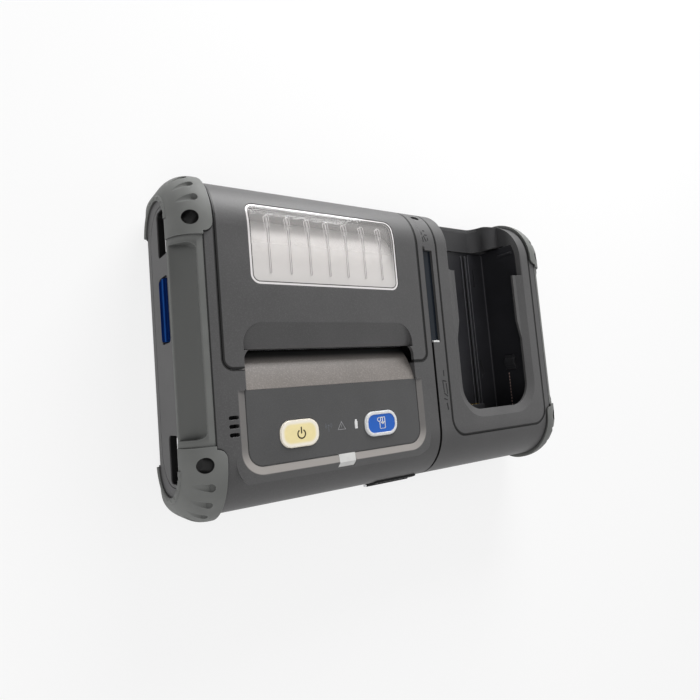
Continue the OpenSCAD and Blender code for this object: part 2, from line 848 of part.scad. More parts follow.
module cover_shell() {
    color([0.3, 0.3, 0.31]) difference() {
        union() {
            intersection() {
                shell(cover_x0, cover_x1, wall);
                upright(hinge_z + hinge_r + barrel_gap, z_front + 1) cover_outline(0);
            }
            intersection() {
                bar(cover_cx - exit_w / 2 - wall, cover_cx + exit_w / 2 + wall) polygon([
                    [edge_y + scoop_h + 6, z_front - 0.5], [edge_y + scoop_h + 6, z_front - wall],
                    [edge_y + scoop_h, z_front - wall], [edge_y, z_front - scoop_deep - wall],
                    [edge_y, z_front - 0.5]
                ]);
                upright(0, z_front) cover_outline(0);
            }
            for (x = knuckle_x) {
                knuckle(x, x + knuckle_l, hinge_pin_r + run_gap);
                intersection() {
                    shell(x, x + knuckle_l, wall);
                    box([x, hinge_y + 1.4, hinge_z + 1], [x + knuckle_l, half_h, hinge_z + 6]);
                }
            }
            for (s = [-1, 1]) translate([cover_cx + s * 46, platen_y + 3, nip_z + 3.4])
                cylinder(h = z_front - wall - nip_z - 3.4, r = 1.6);
            for (x = [cover_x0 + 3.4, cover_x1 - 5.4])
                box([x, bar_y - 4, bar_z0 + bar_h + 0.3], [x + 2, bar_y + 4, z_front - wall + 0.5]);
        }
        scoop_cut(0);
        upright(hinge_z, z_front + 5) window_outline(0.1);
        intersection() {
            bar(cover_x0, cover_x1) section(-step_t);
            upright(hinge_z, z_front + 5) window_outline(2.2);
        }
        for (x = knuckle_x) rod(x - 1, x + knuckle_l + 1, hinge_y, hinge_z, hinge_pin_r + run_gap);
    }
}

module rib_outline(i) {
    x = cover_cx + (i - (rib_count - 1) / 2) * rib_pitch;
    y0 = window_y0 + 7;
    y1 = window_y1 - 7;
    round_rect(x - 0.5, y0, x + 0.5, y1, 0.49);
    round_rect(x - 1.1, y1 - 8, x + 1.1, y1, 1.09);
}

module cover_window() {
    color([0.85, 0.85, 0.85, 0.35]) {
        intersection() {
            difference() {
                bar(cover_x0, cover_x1) section(-0.3);
                bar(cover_x0 - 1, cover_x1 + 1) section(-step_t - 0.1);
            }
            upright(hinge_z, z_front) window_outline(0);
        }
        intersection() {
            difference() {
                bar(cover_x0, cover_x1) section(-step_t - 0.1);
                bar(cover_x0 - 1, cover_x1 + 1) section(-0.3 - window_t);
            }
            upright(hinge_z, z_front) window_outline(2);
        }
        intersection() {
            difference() {
                bar(cover_x0, cover_x1) section(0.2);
                bar(cover_x0 - 1, cover_x1 + 1) section(-0.4);
            }
            upright(hinge_z, z_front + 1) for (i = [0:rib_count - 1]) rib_outline(i);
        }
    }
}

module cover_hinge_pins() {
    color("silver") for (x = knuckle_x)
        rod(max(x - 8, cover_x0 + 0.6), min(x + knuckle_l + 8, cover_x1 - 0.6), hinge_y, hinge_z, hinge_pin_r);
}

module tear_bar() {
    pitch = 2;
    half = exit_w / 2 - 2;
    teeth = floor(2 * half / pitch);
    x0 = cover_cx - teeth * pitch / 2;
    z0 = nip_z + 0.8;
    color("silver") span_y(edge_y, edge_y + 0.6) polygon(concat(
        [[x0, z_front - scoop_deep - wall]],
        [for (i = [0:teeth - 1], k = [0, 1]) [x0 + (i + k / 2) * pitch, z0 + (k == 0 ? 1.2 : 0)]],
        [[x0 + teeth * pitch, z0 + 1.2], [x0 + teeth * pitch, z_front - scoop_deep - wall]]
    ));
}

head_z = nip_z + nip_gap;
head_t = 1.8;
bracket_z1 = nip_z + 6.3;
spring_x = [-52, 0, 52];

module head_bracket() {
    color("lightgray") difference() {
        box([cover_cx - roll_w / 2 - 1, platen_y - 6, head_z + head_t], [cover_cx + roll_w / 2 + 1, platen_y + 7.5, bracket_z1]);
        for (s = [-1, 1]) translate([cover_cx + s * 46, platen_y + 3, 0]) cylinder(h = 80, r = 1.68);
        for (i = [-13:13]) if (abs(i) != 12 && abs(i) != 13 && abs(i) != 11)
            box([cover_cx + i * 3.9 - 0.7, platen_y + 4.8, head_z + head_t + 1], [cover_cx + i * 3.9 + 0.7, platen_y + 8, bracket_z1 + 1]);
    }
}

module print_head() {
    color([0.85, 0.85, 0.8]) {
        box([cover_cx - roll_w / 2, platen_y - 4.5, head_z], [cover_cx + roll_w / 2, platen_y + 4.5, head_z + head_t]);
    }
}

// A coil spring standing on z0: n turns of wire w about radius r
function coil_point(r, h, n, w, k, j, m) =
    let (a = 360 * k / m, b = 60 * j, q = r + w * cos(b), t = k / (m * n))
    [q * cos(a), q * sin(a), w + (h - 2 * w) * t + w * sin(b)];

module coil(r, h, n, w) {
    m = 12;
    steps = m * n;
    pts = [for (k = [0:steps], j = [0:5]) coil_point(r, h, n, w, k, j, m)];
    sides = [for (k = [0:steps - 1], j = [0:5]) let (a = 6 * k + j, b = 6 * k + (j + 1) % 6) each [[a, b, b + 6], [a, b + 6, a + 6]]];
    ends = [[5, 4, 3, 2, 1, 0], [for (j = [0:5]) 6 * steps + j]];
    polyhedron(points = pts, faces = concat(sides, ends));
}

spring_y = platen_y - 1;
spring_r = 2.2;
spring_z1 = z_front - wall - scoop_deep * (edge_y + scoop_h - spring_y + spring_r + 0.4) / (scoop_h + 1) - 0.1;

module head_springs() {
    color("silver") for (x = spring_x) translate([cover_cx + x, spring_y, bracket_z1 + 0.05])
        coil(spring_r, spring_z1 - bracket_z1 - 0.05, 3, 0.3);
}

module gear_outline(n, phase) {
    pitch_r = gear_m * n / 2;
    base_r = pitch_r * cos(pressure);
    tip_r = pitch_r + gear_m * 0.92;
    root_r = pitch_r - gear_m * 1.25;
    half = 90 / n - backlash / pitch_r * 180 / PI / 2;
    inv_p = tan(pressure) * 180 / PI - pressure;
    steps = 4;
    flank = [for (i = [0:steps]) let (
        q = max(base_r, root_r + 0.1) + (tip_r - max(base_r, root_r + 0.1)) * i / steps,
        a = acos(min(1, base_r / q)), inv_a = tan(a) * 180 / PI - a
    ) [q, half + inv_p - inv_a]];
    polygon([for (k = [0:n - 1]) let (c = phase + 360 * k / n) each concat(
        [root_r * [cos(c - flank[0][1] - 0.4), sin(c - flank[0][1] - 0.4)]],
        [for (i = [0:steps]) flank[i][0] * [cos(c - flank[i][1]), sin(c - flank[i][1])]],
        [for (i = [steps:-1:0]) flank[i][0] * [cos(c + flank[i][1]), sin(c + flank[i][1])]],
        [root_r * [cos(c + flank[0][1] + 0.4), sin(c + flank[0][1] + 0.4)]]
    )]);
}

angle_a = atan2(idler_zc - motor_z, idler_y - motor_y);
angle_b = atan2(platen_zc - idler_zc, platen_y - idler_y);
idler_phase = angle_a + 180 + 180 / idler_n;
slip = angle_b - idler_phase - round((angle_b - idler_phase) * idler_n / 360) * 360 / idler_n;
platen_phase = angle_b + 180 + 180 / platen_n + slip * idler_n / platen_n;

module gear(n, phase, y, z, bore, lighten) {
    difference() {
        translate([0, y, z]) bar(gear_x, gear_x + gear_w) gear_outline(n, phase);
        rod(gear_x - 1, gear_x + gear_w + 1, y, z, bore);
        if (lighten > 0) for (k = [0:4]) rod(
            gear_x - 1, gear_x + gear_w + 1,
            y + (gear_m * n / 4 + 1) * cos(72 * k), z + (gear_m * n / 4 + 1) * sin(72 * k), lighten
        );
    }
}

module plate_outline() {
    difference() {
        union() {
            translate([motor_y - motor_r - 1, foot + wall + 2]) square([platen_y + 11 - motor_y + motor_r + 1, motor_z + motor_r - foot - wall - 2]);
            translate([platen_y - bush_r - 2, motor_z]) square([2 * bush_r + 4, platen_zc - motor_z]);
            translate([platen_y, platen_zc]) circle(bush_r + 2);
        }
        translate([platen_y, platen_zc]) circle(bush_r);
        translate([idler_y, idler_zc]) circle(idler_pin_r);
        translate([motor_y, motor_z]) circle(5);
    }
}

module mech_frame() {
    x0 = plate_x0;
    x1 = plate_x1 + plate_t;
    y0 = motor_y - motor_r - 1;
    y1 = platen_y + 11;
    color("silver") {
        bar(x0, x0 + plate_t) plate_outline();
        bar(x1 - plate_t, x1) plate_outline();
        box([x0, y0, foot + wall + 2], [x1, y1, foot + wall + 2 + plate_t]);
        for (x = [x0 + 6, x1 - 6], y = [y0 + 6, y1 - 6]) translate([x, y, foot + wall]) cylinder(h = 2.5, r = 4);
    }
}

module platen_bushes() {
    color("goldenrod") for (x = [plate_x0, plate_x1]) difference() {
        union() {
            rod(x, x + plate_t, platen_y, platen_zc, bush_r);
            rod(x == plate_x0 ? x + plate_t : x - 0.8, x == plate_x0 ? x + plate_t + 0.8 : x, platen_y, platen_zc, bush_r + 1);
        }
        rod(x - 3, x + 5, platen_y, platen_zc, shaft_r + run_gap);
    }
}

module platen_roller() {
    color([0.12, 0.12, 0.12]) difference() {
        rod(cover_cx - roll_w / 2, cover_cx + roll_w / 2, platen_y, platen_zc, platen_r);
        rod(cover_cx - roll_w, cover_cx + roll_w, platen_y, platen_zc, shaft_r);
    }
}

module platen_shaft() {
    color("silver") rod(gear_x - 1, plate_x1 + plate_t + 1.5, platen_y, platen_zc, shaft_r);
}

module platen_gear() {
    color([0.85, 0.84, 0.78]) gear(platen_n, platen_phase, platen_y, platen_zc, shaft_r, 0);
}

module idler_gear() {
    color([0.85, 0.84, 0.78]) gear(idler_n, idler_phase, idler_y, idler_zc, idler_pin_r + run_gap, 1.6);
}

module idler_pin() {
    color("silver") {
        rod(gear_x - 0.6, plate_x0 + plate_t, idler_y, idler_zc, idler_pin_r);
        rod(gear_x - 1.4, gear_x - 0.6, idler_y, idler_zc, idler_pin_r + 1.2);
        rod(gear_x + gear_w + 0.4, plate_x0, idler_y, idler_zc, idler_pin_r + 1.2);
    }
}

module motor_pinion() {
    color("goldenrod") gear(pinion_n, angle_a, motor_y, motor_z, motor_shaft_r, 0);
}

module drive_motor() {
    x = plate_x0 + plate_t;
    color([0.35, 0.35, 0.37]) difference() {
        union() {
            rod(x, x + motor_l, motor_y, motor_z, motor_r);
            rod(plate_x0 - 0.6, x, motor_y, motor_z, 5);
        }
        rod(x - 5, x + motor_l - 2, motor_y, motor_z, motor_shaft_r + run_gap);
    }
}

module motor_shaft() {
    color("silver") rod(gear_x - 0.5, plate_x0 + plate_t + motor_l - 3, motor_y, motor_z, motor_shaft_r);
}

module exit_ramp() {
    color([0.42, 0.41, 0.4]) bar(cover_cx - exit_w / 2 + 0.2, cover_cx + exit_w / 2 - 0.2) intersection() {
        difference() {
            translate(ramp_c) circle(ramp_r, $fn = 240);
            translate(ramp_c) circle(ramp_r - ramp_t, $fn = 240);
        }
        translate([panel_y1 + 0.1, nip_z - 6]) square([ramp_h + 0.9, 20]);
    }
}

module control_panel() {
    color([0.25, 0.25, 0.26]) difference() {
        upright(floor_z1, panel_z) panel_outline(-0.2);
        for (s = [-1, 1]) upright(floor_z1 - 1, panel_z + 1) key_outline(s, 0.3);
        box([light_x - light_w / 2 - 0.1, panel_y0 - 8.2, floor_z0 - 5], [light_x + light_w / 2 + 0.1, panel_y0 + 0.1, z_front + 2]);
    }
}

module key(s) {
    upright(flange_z + flange_t, panel_z + key_proud - 0.5) key_outline(s, 0);
    upright(panel_z + key_proud - 0.5, panel_z + key_proud) key_outline(s, -0.5);
    upright(flange_z, flange_z + flange_t) key_outline(s, 1.2);
}

module power_key() {
    color([0.96, 0.86, 0.55]) key(-1);
}

module feed_key() {
    color([0.12, 0.33, 0.72]) key(1);
}

module key_board() {
    color([0.1, 0.35, 0.2]) upright(key_pcb_z, key_pcb_z + key_pcb_t)
        round_rect(cover_cx - key_pcb_x, key_y - key_h / 2 - 3, cover_cx + key_pcb_x, key_y + key_h / 2 + 3, 2);
}

module dome(s) {
    color([0.75, 0.75, 0.75]) translate([cover_cx + s * key_dx, key_y, key_pcb_z + key_pcb_t])
        cylinder(h = dome_h, r1 = 5, r2 = 3);
}

module power_dome() {
    dome(-1);
}

module feed_dome() {
    dome(1);
}

module light_pipe() {
    y0 = panel_y0 - 8.1;
    color([0.93, 0.94, 0.93]) bar(light_x - light_w / 2, light_x + light_w / 2) polygon([
        [y0, floor_z0 - 4], [y0, z_front - 3.4], [panel_y0 - 5, z_front - 0.2],
        [panel_y0, panel_z + 0.3], [panel_y0, floor_z0 - 4]
    ]);
}

module speaker() {
    color([0.15, 0.15, 0.16]) difference() {
        translate([cover_x0 + 4.4, panel_y0 + 23.8, floor_z0 - 5.3]) cylinder(h = 5, r = 8);
        translate([cover_x0 + 4.4, panel_y0 + 23.8, floor_z0 - 1.3]) cylinder(h = 2, r = 6.5);
    }
}

module main_board() {
    color([0.1, 0.35, 0.2]) {
        box([plate_x0 + 2.6, -half_h + 8.6, board_z], [cover_x1 - 9, motor_y - motor_r - 2, board_z + 1.6]);
        box([cover_cx - key_w, panel_y0, board_z + 1.6], [cover_cx - 6, panel_y0 + 20, board_z + 3.6]);
        box([cover_cx - 48, panel_y0 + 4, board_z + 1.6], [cover_cx - 34, panel_y0 + 14, board_z + 3]);
        box([cover_cx + 14, panel_y0 + 6, board_z + 1.6], [cover_cx + 26, panel_y0 + 16, board_z + 3.2]);
        for (i = [0:2]) translate([cover_cx + 38 + 9 * i, panel_y0 + 14, board_z + 1.6]) cylinder(h = 8, r = 3.4);
    }
}

module release_button() {
    x0 = -cap_x - 0.6;
    color([0.08, 0.2, 0.55]) {
        difference() {
            span_release(x0, -cap_x + 3.7, 0);
            for (i = [-1, 1]) bar(x0 - 1, x0 + 1.2)
                translate([release_y - 40, (release_z0 + release_z1) / 2 + i * 4.4 - 1.2]) square([80, 2.4]);
        }
        span_release(-cap_x + 3.7, -cap_x + 5.2, 1.4);
    }
}

module latch_bar() {
    x0 = -shell_x + 1;
    x1 = cover_x1 - 0.6;
    link_z = (release_z0 + release_z1) / 2;
    color([0.8, 0.8, 0.78]) {
        box([x0, bar_y - bar_w / 2, bar_z0], [x1, bar_y + bar_w / 2, bar_z0 + bar_h]);
        box([x0, bar_y - bar_w / 2, link_z - 2], [x0 + 3, bar_y + bar_w / 2, bar_z0 + bar_h]);
        box([-cap_x + 5.2, bar_y - bar_w / 2, link_z - 2], [x0 + 3, bar_y + bar_w / 2, link_z + 2]);
        for (x = [cover_x0 + 5.7, cover_x1 - 3.1])
            box([x, bar_y - bar_w / 2, bar_z0 + bar_h], [x + 2, bar_y + bar_w / 2, z_front - wall - 0.6]);
    }
}

module card_guide() {
    color([0.06, 0.09, 0.16]) difference() {
        upright(z_front - 5, z_front - guide_deep)
            round_rect(slot_x1 + 0.2, guide_y1 - guide_l + 0.2, slot_x1 + 0.2 + guide_w, guide_y1 - 0.2, 0.4);
    }
}

module card_reader() {
    y0 = guide_y1 - 60;
    color([0.6, 0.6, 0.62]) {
        box([slot_x1 + wall + 0.3, y0 - 3, slot_z - 1], [slot_x1 + wall + 5, y0 + reader_l + 3, z_front - 7.2]);
        box([slot_x1 + 0.2, y0 + 4, slot_z + 1.5], [slot_x1 + wall + 0.3, y0 + reader_l - 4, z_front - 8.5]);
    }
}

// Bevel round the mouth: planes at the sides and the lower end, cones in the corners
module mouth_bevel() {
    x = lip_gap / 2 - mouth_r;
    y = pocket_y0 + mouth_r;
    z0 = z_front - bevel_deep;
    z1 = z_front + 0.5;
    out = mouth_r + bevel_w * (z1 - z0) / bevel_deep;
    for (s = [-1, 1]) translate([pocket_x + s * x, y, z0])
        cylinder(h = z1 - z0, r1 = mouth_r, r2 = out, $fn = 120);
    span_y(y, half_h + 20) translate([pocket_x, 0])
        polygon([[-x - mouth_r, z0], [x + mouth_r, z0], [x + out, z1], [-x - out, z1]]);
    bar(pocket_x - x, pocket_x + x)
        polygon([[y + 1, z0], [y - mouth_r, z0], [y - out, z1], [y + 1, z1]]);
}

// Ear on the lip at positive X, which tapers off at its lower end
module ear_outline() {
    w = lip_gap / 2;
    polygon([[w - ear, half_h], [w - ear, ear_y + 7], [w, ear_y - 7], [w + 2, ear_y - 7], [w + 2, half_h]]);
}

module mouth_outline() {
    intersection() {
        round_rect(pocket_x - lip_gap / 2, pocket_y0, pocket_x + lip_gap / 2, half_h + 60, mouth_r);
        translate([0, -half_h]) square([end_x, half_h + lip_y + 0.5]);
    }
}

// Opening at the head end of the pocket, seen along Y; its right side rises in an S
module head_profile() {
    x = pocket_x + dock_w / 2;
    difference() {
        translate([pocket_x - dock_w / 2, plateau_z]) square([dock_w, 100]);
        translate([x - head_r, plateau_z]) square([head_r, head_r + 1]);
        translate([x, plateau_z + head_r + 1]) circle(head_r);
        difference() {
            translate([x - 2 * head_r, plateau_z]) square(head_r);
            translate([x - 2 * head_r, plateau_z + head_r]) circle(head_r);
        }
    }
}

// Saddle that closes the pocket under the head of the handheld
module head_saddle() {
    x0 = pocket_x - dock_w / 2 - liner_t;
    x1 = pocket_x + dock_w / 2 + liner_t;
    intersection() {
        span_y(liner_top + 0.1, half_h) difference() {
            translate([x0, dock_floor - liner_t]) square([x1 - x0, lip_z - dock_floor + liner_t]);
            head_profile();
        }
        bar(x0, x1) section(-wall - 0.1);
    }
}

module cradle_bezel() {
    color([0.31, 0.31, 0.32]) {
        difference() {
            intersection() {
                shell(bezel_x0, bezel_x1, lip_t);
                upright(split_z, z_front + 1) bezel_outline(0);
            }
            upright(0, z_front + 5) difference() {
                mouth_outline();
                for (s = [0, 1]) translate([pocket_x, 0]) mirror([s, 0]) ear_outline();
            }
            span_y(lip_y, half_h + 5) head_profile();
            mouth_bevel();
        }
        head_saddle();
    }
}

module cradle_liner() {
    x0 = pocket_x - dock_w / 2;
    x1 = pocket_x + dock_w / 2;
    y0 = pocket_end;
    top = lip_z - 0.1;
    color([0.09, 0.09, 0.1]) {
        difference() {
            intersection() {
                box([x0 - liner_t, y0 - liner_t, dock_floor - liner_t], [x1 + liner_t, liner_top, top]);
                bar(x0 - 10, x1 + 10) section(-lip_t - 0.1);
            }
            box([x0, y0, dock_floor], [x1, liner_top + 1, top + 1]);
            box([x1 - 1, latch_y - 6.4, latch_z - 5.4], [x1 + 4, latch_y + 6.4, latch_z + 5.4]);
        }
        for (dx = [0, 5]) upright(dock_floor - 0.5, dock_floor + 1.2)
            round_rect(x1 - 26.6 + dx, y0 - 0.5, x1 - 24.8 + dx, liner_top - 3, 0.85);
        upright(dock_floor - 0.5, dock_floor + 1.2) liner_plate(x1, y0);
        translate([x1, liner_top - 7, dock_floor + 19]) cylinder(h = 15, r = 1.3);
    }
}

// Raised plate on the pocket floor, with a hooked slot and a notch
module liner_plate(x1, y0) {
    difference() {
        translate([x1 - 18.5, y0 - 0.5]) square([19, liner_top - y0 - 1]);
        translate([x1 - 13.4, liner_top - 30]) square([1, 16]);
        translate([x1 - 15.4, liner_top - 30]) square([3, 1]);
        polygon([[x1 - 15.8, pocket_y0 + 43], [x1 - 11.6, pocket_y0 + 28], [x1 - 15.4, pocket_y0 + 24]]);
    }
}

module cradle_latch() {
    x = pocket_x + dock_w / 2;
    color([0.14, 0.14, 0.15]) {
        box([x - 0.6, latch_y - 6, latch_z - 5], [x + liner_t + 2, latch_y + 6, latch_z + 5]);
        intersection() {
            translate([x + 1.4, latch_y, latch_z - 5]) cylinder(h = 10, r = 4);
            box([x - 10, latch_y - 6, latch_z - 5], [x, latch_y + 6, latch_z + 5]);
        }
        box([x + liner_t + 0.3, latch_y - 8, latch_z - 6.5], [x + liner_t + 2, latch_y + 8, latch_z + 6.5]);
    }
}

module dock_connector() {
    y0 = pocket_end;
    color([0.1, 0.1, 0.1]) difference() {
        box([pocket_x - dock_conn_w / 2, y0, dock_floor + 5], [pocket_x + dock_conn_w / 2, y0 + 5, dock_floor + 13]);
        box([pocket_x - dock_conn_w / 2 + 1.5, y0 + 3, dock_floor + 6.5], [pocket_x + dock_conn_w / 2 - 1.5, y0 + 6, dock_floor + 11.5]);
    }
}

module dock_contacts() {
    y0 = pocket_end;
    n = floor((dock_conn_w - 5) / 2.5);
    color("gold") for (i = [0:n]) {
        x = pocket_x + (i - n / 2) * 2.5;
        box([x - 0.4, y0 + 3, dock_floor + 8], [x + 0.4, y0 + 5.6, dock_floor + 10]);
    }
}

module port_block() {
    x0 = port_x - 14;
    x1 = port_x + 14;
    y0 = -half_h + wall + 0.5;
    color([0.12, 0.12, 0.13]) difference() {
        intersection() {
            box([x0, y0, board_z + 1.6], [x1, y0 + 13, port_z0 + 10.4]);
            bar(x0, x1) section(-wall - 0.3);
        }
        translate([port_x - 7, y0 - 1, port_z0 + 6]) rotate([-90, 0, 0]) cylinder(h = 9, r = 3);
        box([port_x + 2, y0 - 1, port_z0 + 4.2], [port_x + 11, y0 + 7, port_z0 + 7.8]);
    }
}

flap_gap = 0.3;
flap_pin = [-half_h - 1.5, split_z + 1.3];
flap_pin_r = 0.5;

module port_cover() {
    x0 = port_x - port_w / 2;
    x1 = port_x + port_w / 2;
    color([0.1, 0.1, 0.1]) difference() {
        union() {
            intersection() {
                difference() {
                    bar(x0, x1) section(flap_t);
                    bar(x0 - 1, x1 + 1) section(flap_gap);
                }
                box([x0, -half_h - 5, flap_pin[1]], [x1, 0, port_z0 + port_h]);
            }
            rod(x0, x1, flap_pin[0], flap_pin[1], flap_pin_r + 0.6);
            box([port_x - 13, -half_h - 0.8, port_z0 + 2.6], [port_x + 13, -half_h + 1.6, port_z0 + 9.4]);
        }
        rod(x0 - 1, x1 + 1, flap_pin[0], flap_pin[1], flap_pin_r + run_gap);
    }
}

module port_hinge_pin() {
    color("silver") {
        rod(port_x - port_w / 2 - 1.6, port_x + port_w / 2 + 1.6, flap_pin[0], flap_pin[1], flap_pin_r);
        for (s = [-1, 1]) {
            x = port_x + s * (port_w / 2 + 1);
            box([x - 0.6, -half_h - 2.3, split_z + 0.3], [x + 0.6, -half_h, split_z + 2.3]);
        }
    }
}

rear_housing();
printer_housing();
cradle_housing();
left_end_cap();
right_end_cap();
left_bumper();
right_bumper();
housing_screws();
battery_door();
battery_pack();
roll_bay();
roll_hubs();
paper_roll();
paper_core();
cover_shell();
cover_window();
cover_hinge_pins();
tear_bar();
head_bracket();
print_head();
head_springs();
mech_frame();
platen_bushes();
platen_roller();
platen_shaft();
platen_gear();
idler_pin();
idler_gear();
drive_motor();
motor_shaft();
motor_pinion();
exit_ramp();
control_panel();
power_key();
feed_key();
key_board();
power_dome();
feed_dome();
light_pipe();
speaker();
main_board();
release_button();
latch_bar();
card_guide();
card_reader();
cradle_bezel();
cradle_liner();
cradle_latch();
dock_connector();
dock_contacts();
port_block();
port_cover();
port_hinge_pin();
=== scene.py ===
import math
import json
import bpy
from mathutils import Matrix, Vector

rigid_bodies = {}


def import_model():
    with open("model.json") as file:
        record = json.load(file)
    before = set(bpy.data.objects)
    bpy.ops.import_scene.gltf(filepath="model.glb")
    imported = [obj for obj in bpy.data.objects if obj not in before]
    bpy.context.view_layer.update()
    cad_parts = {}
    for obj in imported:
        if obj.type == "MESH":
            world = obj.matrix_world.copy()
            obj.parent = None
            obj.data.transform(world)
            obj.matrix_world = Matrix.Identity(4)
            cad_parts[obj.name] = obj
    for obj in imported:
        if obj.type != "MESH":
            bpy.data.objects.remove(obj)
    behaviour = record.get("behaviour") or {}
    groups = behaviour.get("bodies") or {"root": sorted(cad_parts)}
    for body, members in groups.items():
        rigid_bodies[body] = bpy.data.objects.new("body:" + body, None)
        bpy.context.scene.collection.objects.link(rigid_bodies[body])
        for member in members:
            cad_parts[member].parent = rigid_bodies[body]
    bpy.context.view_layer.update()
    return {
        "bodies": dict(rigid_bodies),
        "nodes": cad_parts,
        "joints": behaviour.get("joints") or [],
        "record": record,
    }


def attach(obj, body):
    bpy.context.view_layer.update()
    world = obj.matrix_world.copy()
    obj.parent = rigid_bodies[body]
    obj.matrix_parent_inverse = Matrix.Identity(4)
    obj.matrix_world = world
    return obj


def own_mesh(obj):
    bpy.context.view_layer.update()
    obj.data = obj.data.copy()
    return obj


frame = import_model()
nodes = frame["nodes"]
mm = 0.001
print("frame loaded:", len(nodes), "nodes")

# places shared with the CAD, in millimetres
layout = {
    "coverMiddle": -62.0,
    "cover": (-137.0, -17.2, 13.0, 129.0, 6.0),      # x0, y0, x1, y1 and corner radius
    "exit": (-124.5, -66.0, 0.5, -6.0, 6.0),
    "window": (-117.0, 31.5, -7.0, 81.0, 6.0),
    "panel": (-125.0, -72.4, 1.0, -2.0, 9.0),
    "bezel": (31.8, -72.4, 137.0, 159.0, 13.0),
    "frontZ": 61.0,
    "panelZ": 59.6,
    "keyY": -56.6,
    "powerX": -92.2,
    "feedX": -31.8,
    "keyTop": 60.5,
    "keyHalf": (13.0, 8.0, 7.0),                     # half width, half height and corner
    "shellEnd": 144.0,
    "lobe": (138.5, 60.0, 5.4),                      # reach over the shell, start and corner
}


def keyPlace(x, inset):
    y = layout["keyY"]
    across, up, corner = (half - inset for half in layout["keyHalf"])
    return (x - across, y - up, x + across, y + up, corner)


class Wire:
    def __init__(self, tree, socket):
        self.tree = tree
        self.socket = socket

    def maths(self, operation, *values):
        return newNode(self.tree, "ShaderNodeMath", {"operation": operation}, 0, dict(enumerate(values)))

    def __add__(self, o): return self.maths("ADD", self, o)
    def __radd__(self, o): return self.maths("ADD", o, self)
    def __sub__(self, o): return self.maths("SUBTRACT", self, o)
    def __rsub__(self, o): return self.maths("SUBTRACT", o, self)
    def __mul__(self, o): return self.maths("MULTIPLY", self, o)
    def __rmul__(self, o): return self.maths("MULTIPLY", o, self)
    def __neg__(self): return self.maths("MULTIPLY", self, -1.0)
    def __abs__(self): return self.maths("ABSOLUTE", self)
    def root(self): return self.maths("SQRT", self)
    def atLeast(self, o): return self.maths("MAXIMUM", self, o)
    def atMost(self, o): return self.maths("MINIMUM", self, o)
    def modulo(self, o): return self.maths("MODULO", self, o)
    def sine(self): return self.maths("SINE", self)

    def ramp(self, low, high, a=0.0, b=1.0):     # smooth step from a at low to b at high
        return newNode(self.tree, "ShaderNodeMapRange", {"interpolation_type": "SMOOTHSTEP"},
                       Value=self, From_Min=low, From_Max=high, To_Min=a, To_Max=b)

    def fade(self, low, high):                   # 1 up to low, 0 from high on
        return self.ramp(low, high, 1.0, 0.0)

    def zone(self, a, b, c, d):                  # rises from a to b and falls from c to d
        return self.ramp(a, b) * self.fade(c, d)


def feed(tree, socket, value):                   # a wire is linked, a number or colour is written in
    if isinstance(value, Wire):
        tree.links.new(value.socket, socket)
    elif value is not None:
        if hasattr(socket.default_value, "__len__") and len(socket.default_value) == 4 and len(value) == 3:
            value = (*value, 1.0)
        socket.default_value = value


def newNode(tree, kind, settings=None, out=0, numbered=None, **inputs):
    node = tree.nodes.new(kind)
    for name, value in (settings or {}).items():
        setattr(node, name, value)
    for place, value in (numbered or {}).items():
        feed(tree, node.inputs[place], value)
    for name, value in inputs.items():
        feed(tree, node.inputs[name.replace("_", " ")], value)
    return Wire(tree, node.outputs[out])


def scaled(colour, by, plus=0.0):
    return [min(1.0, c * by + plus) for c in colour]


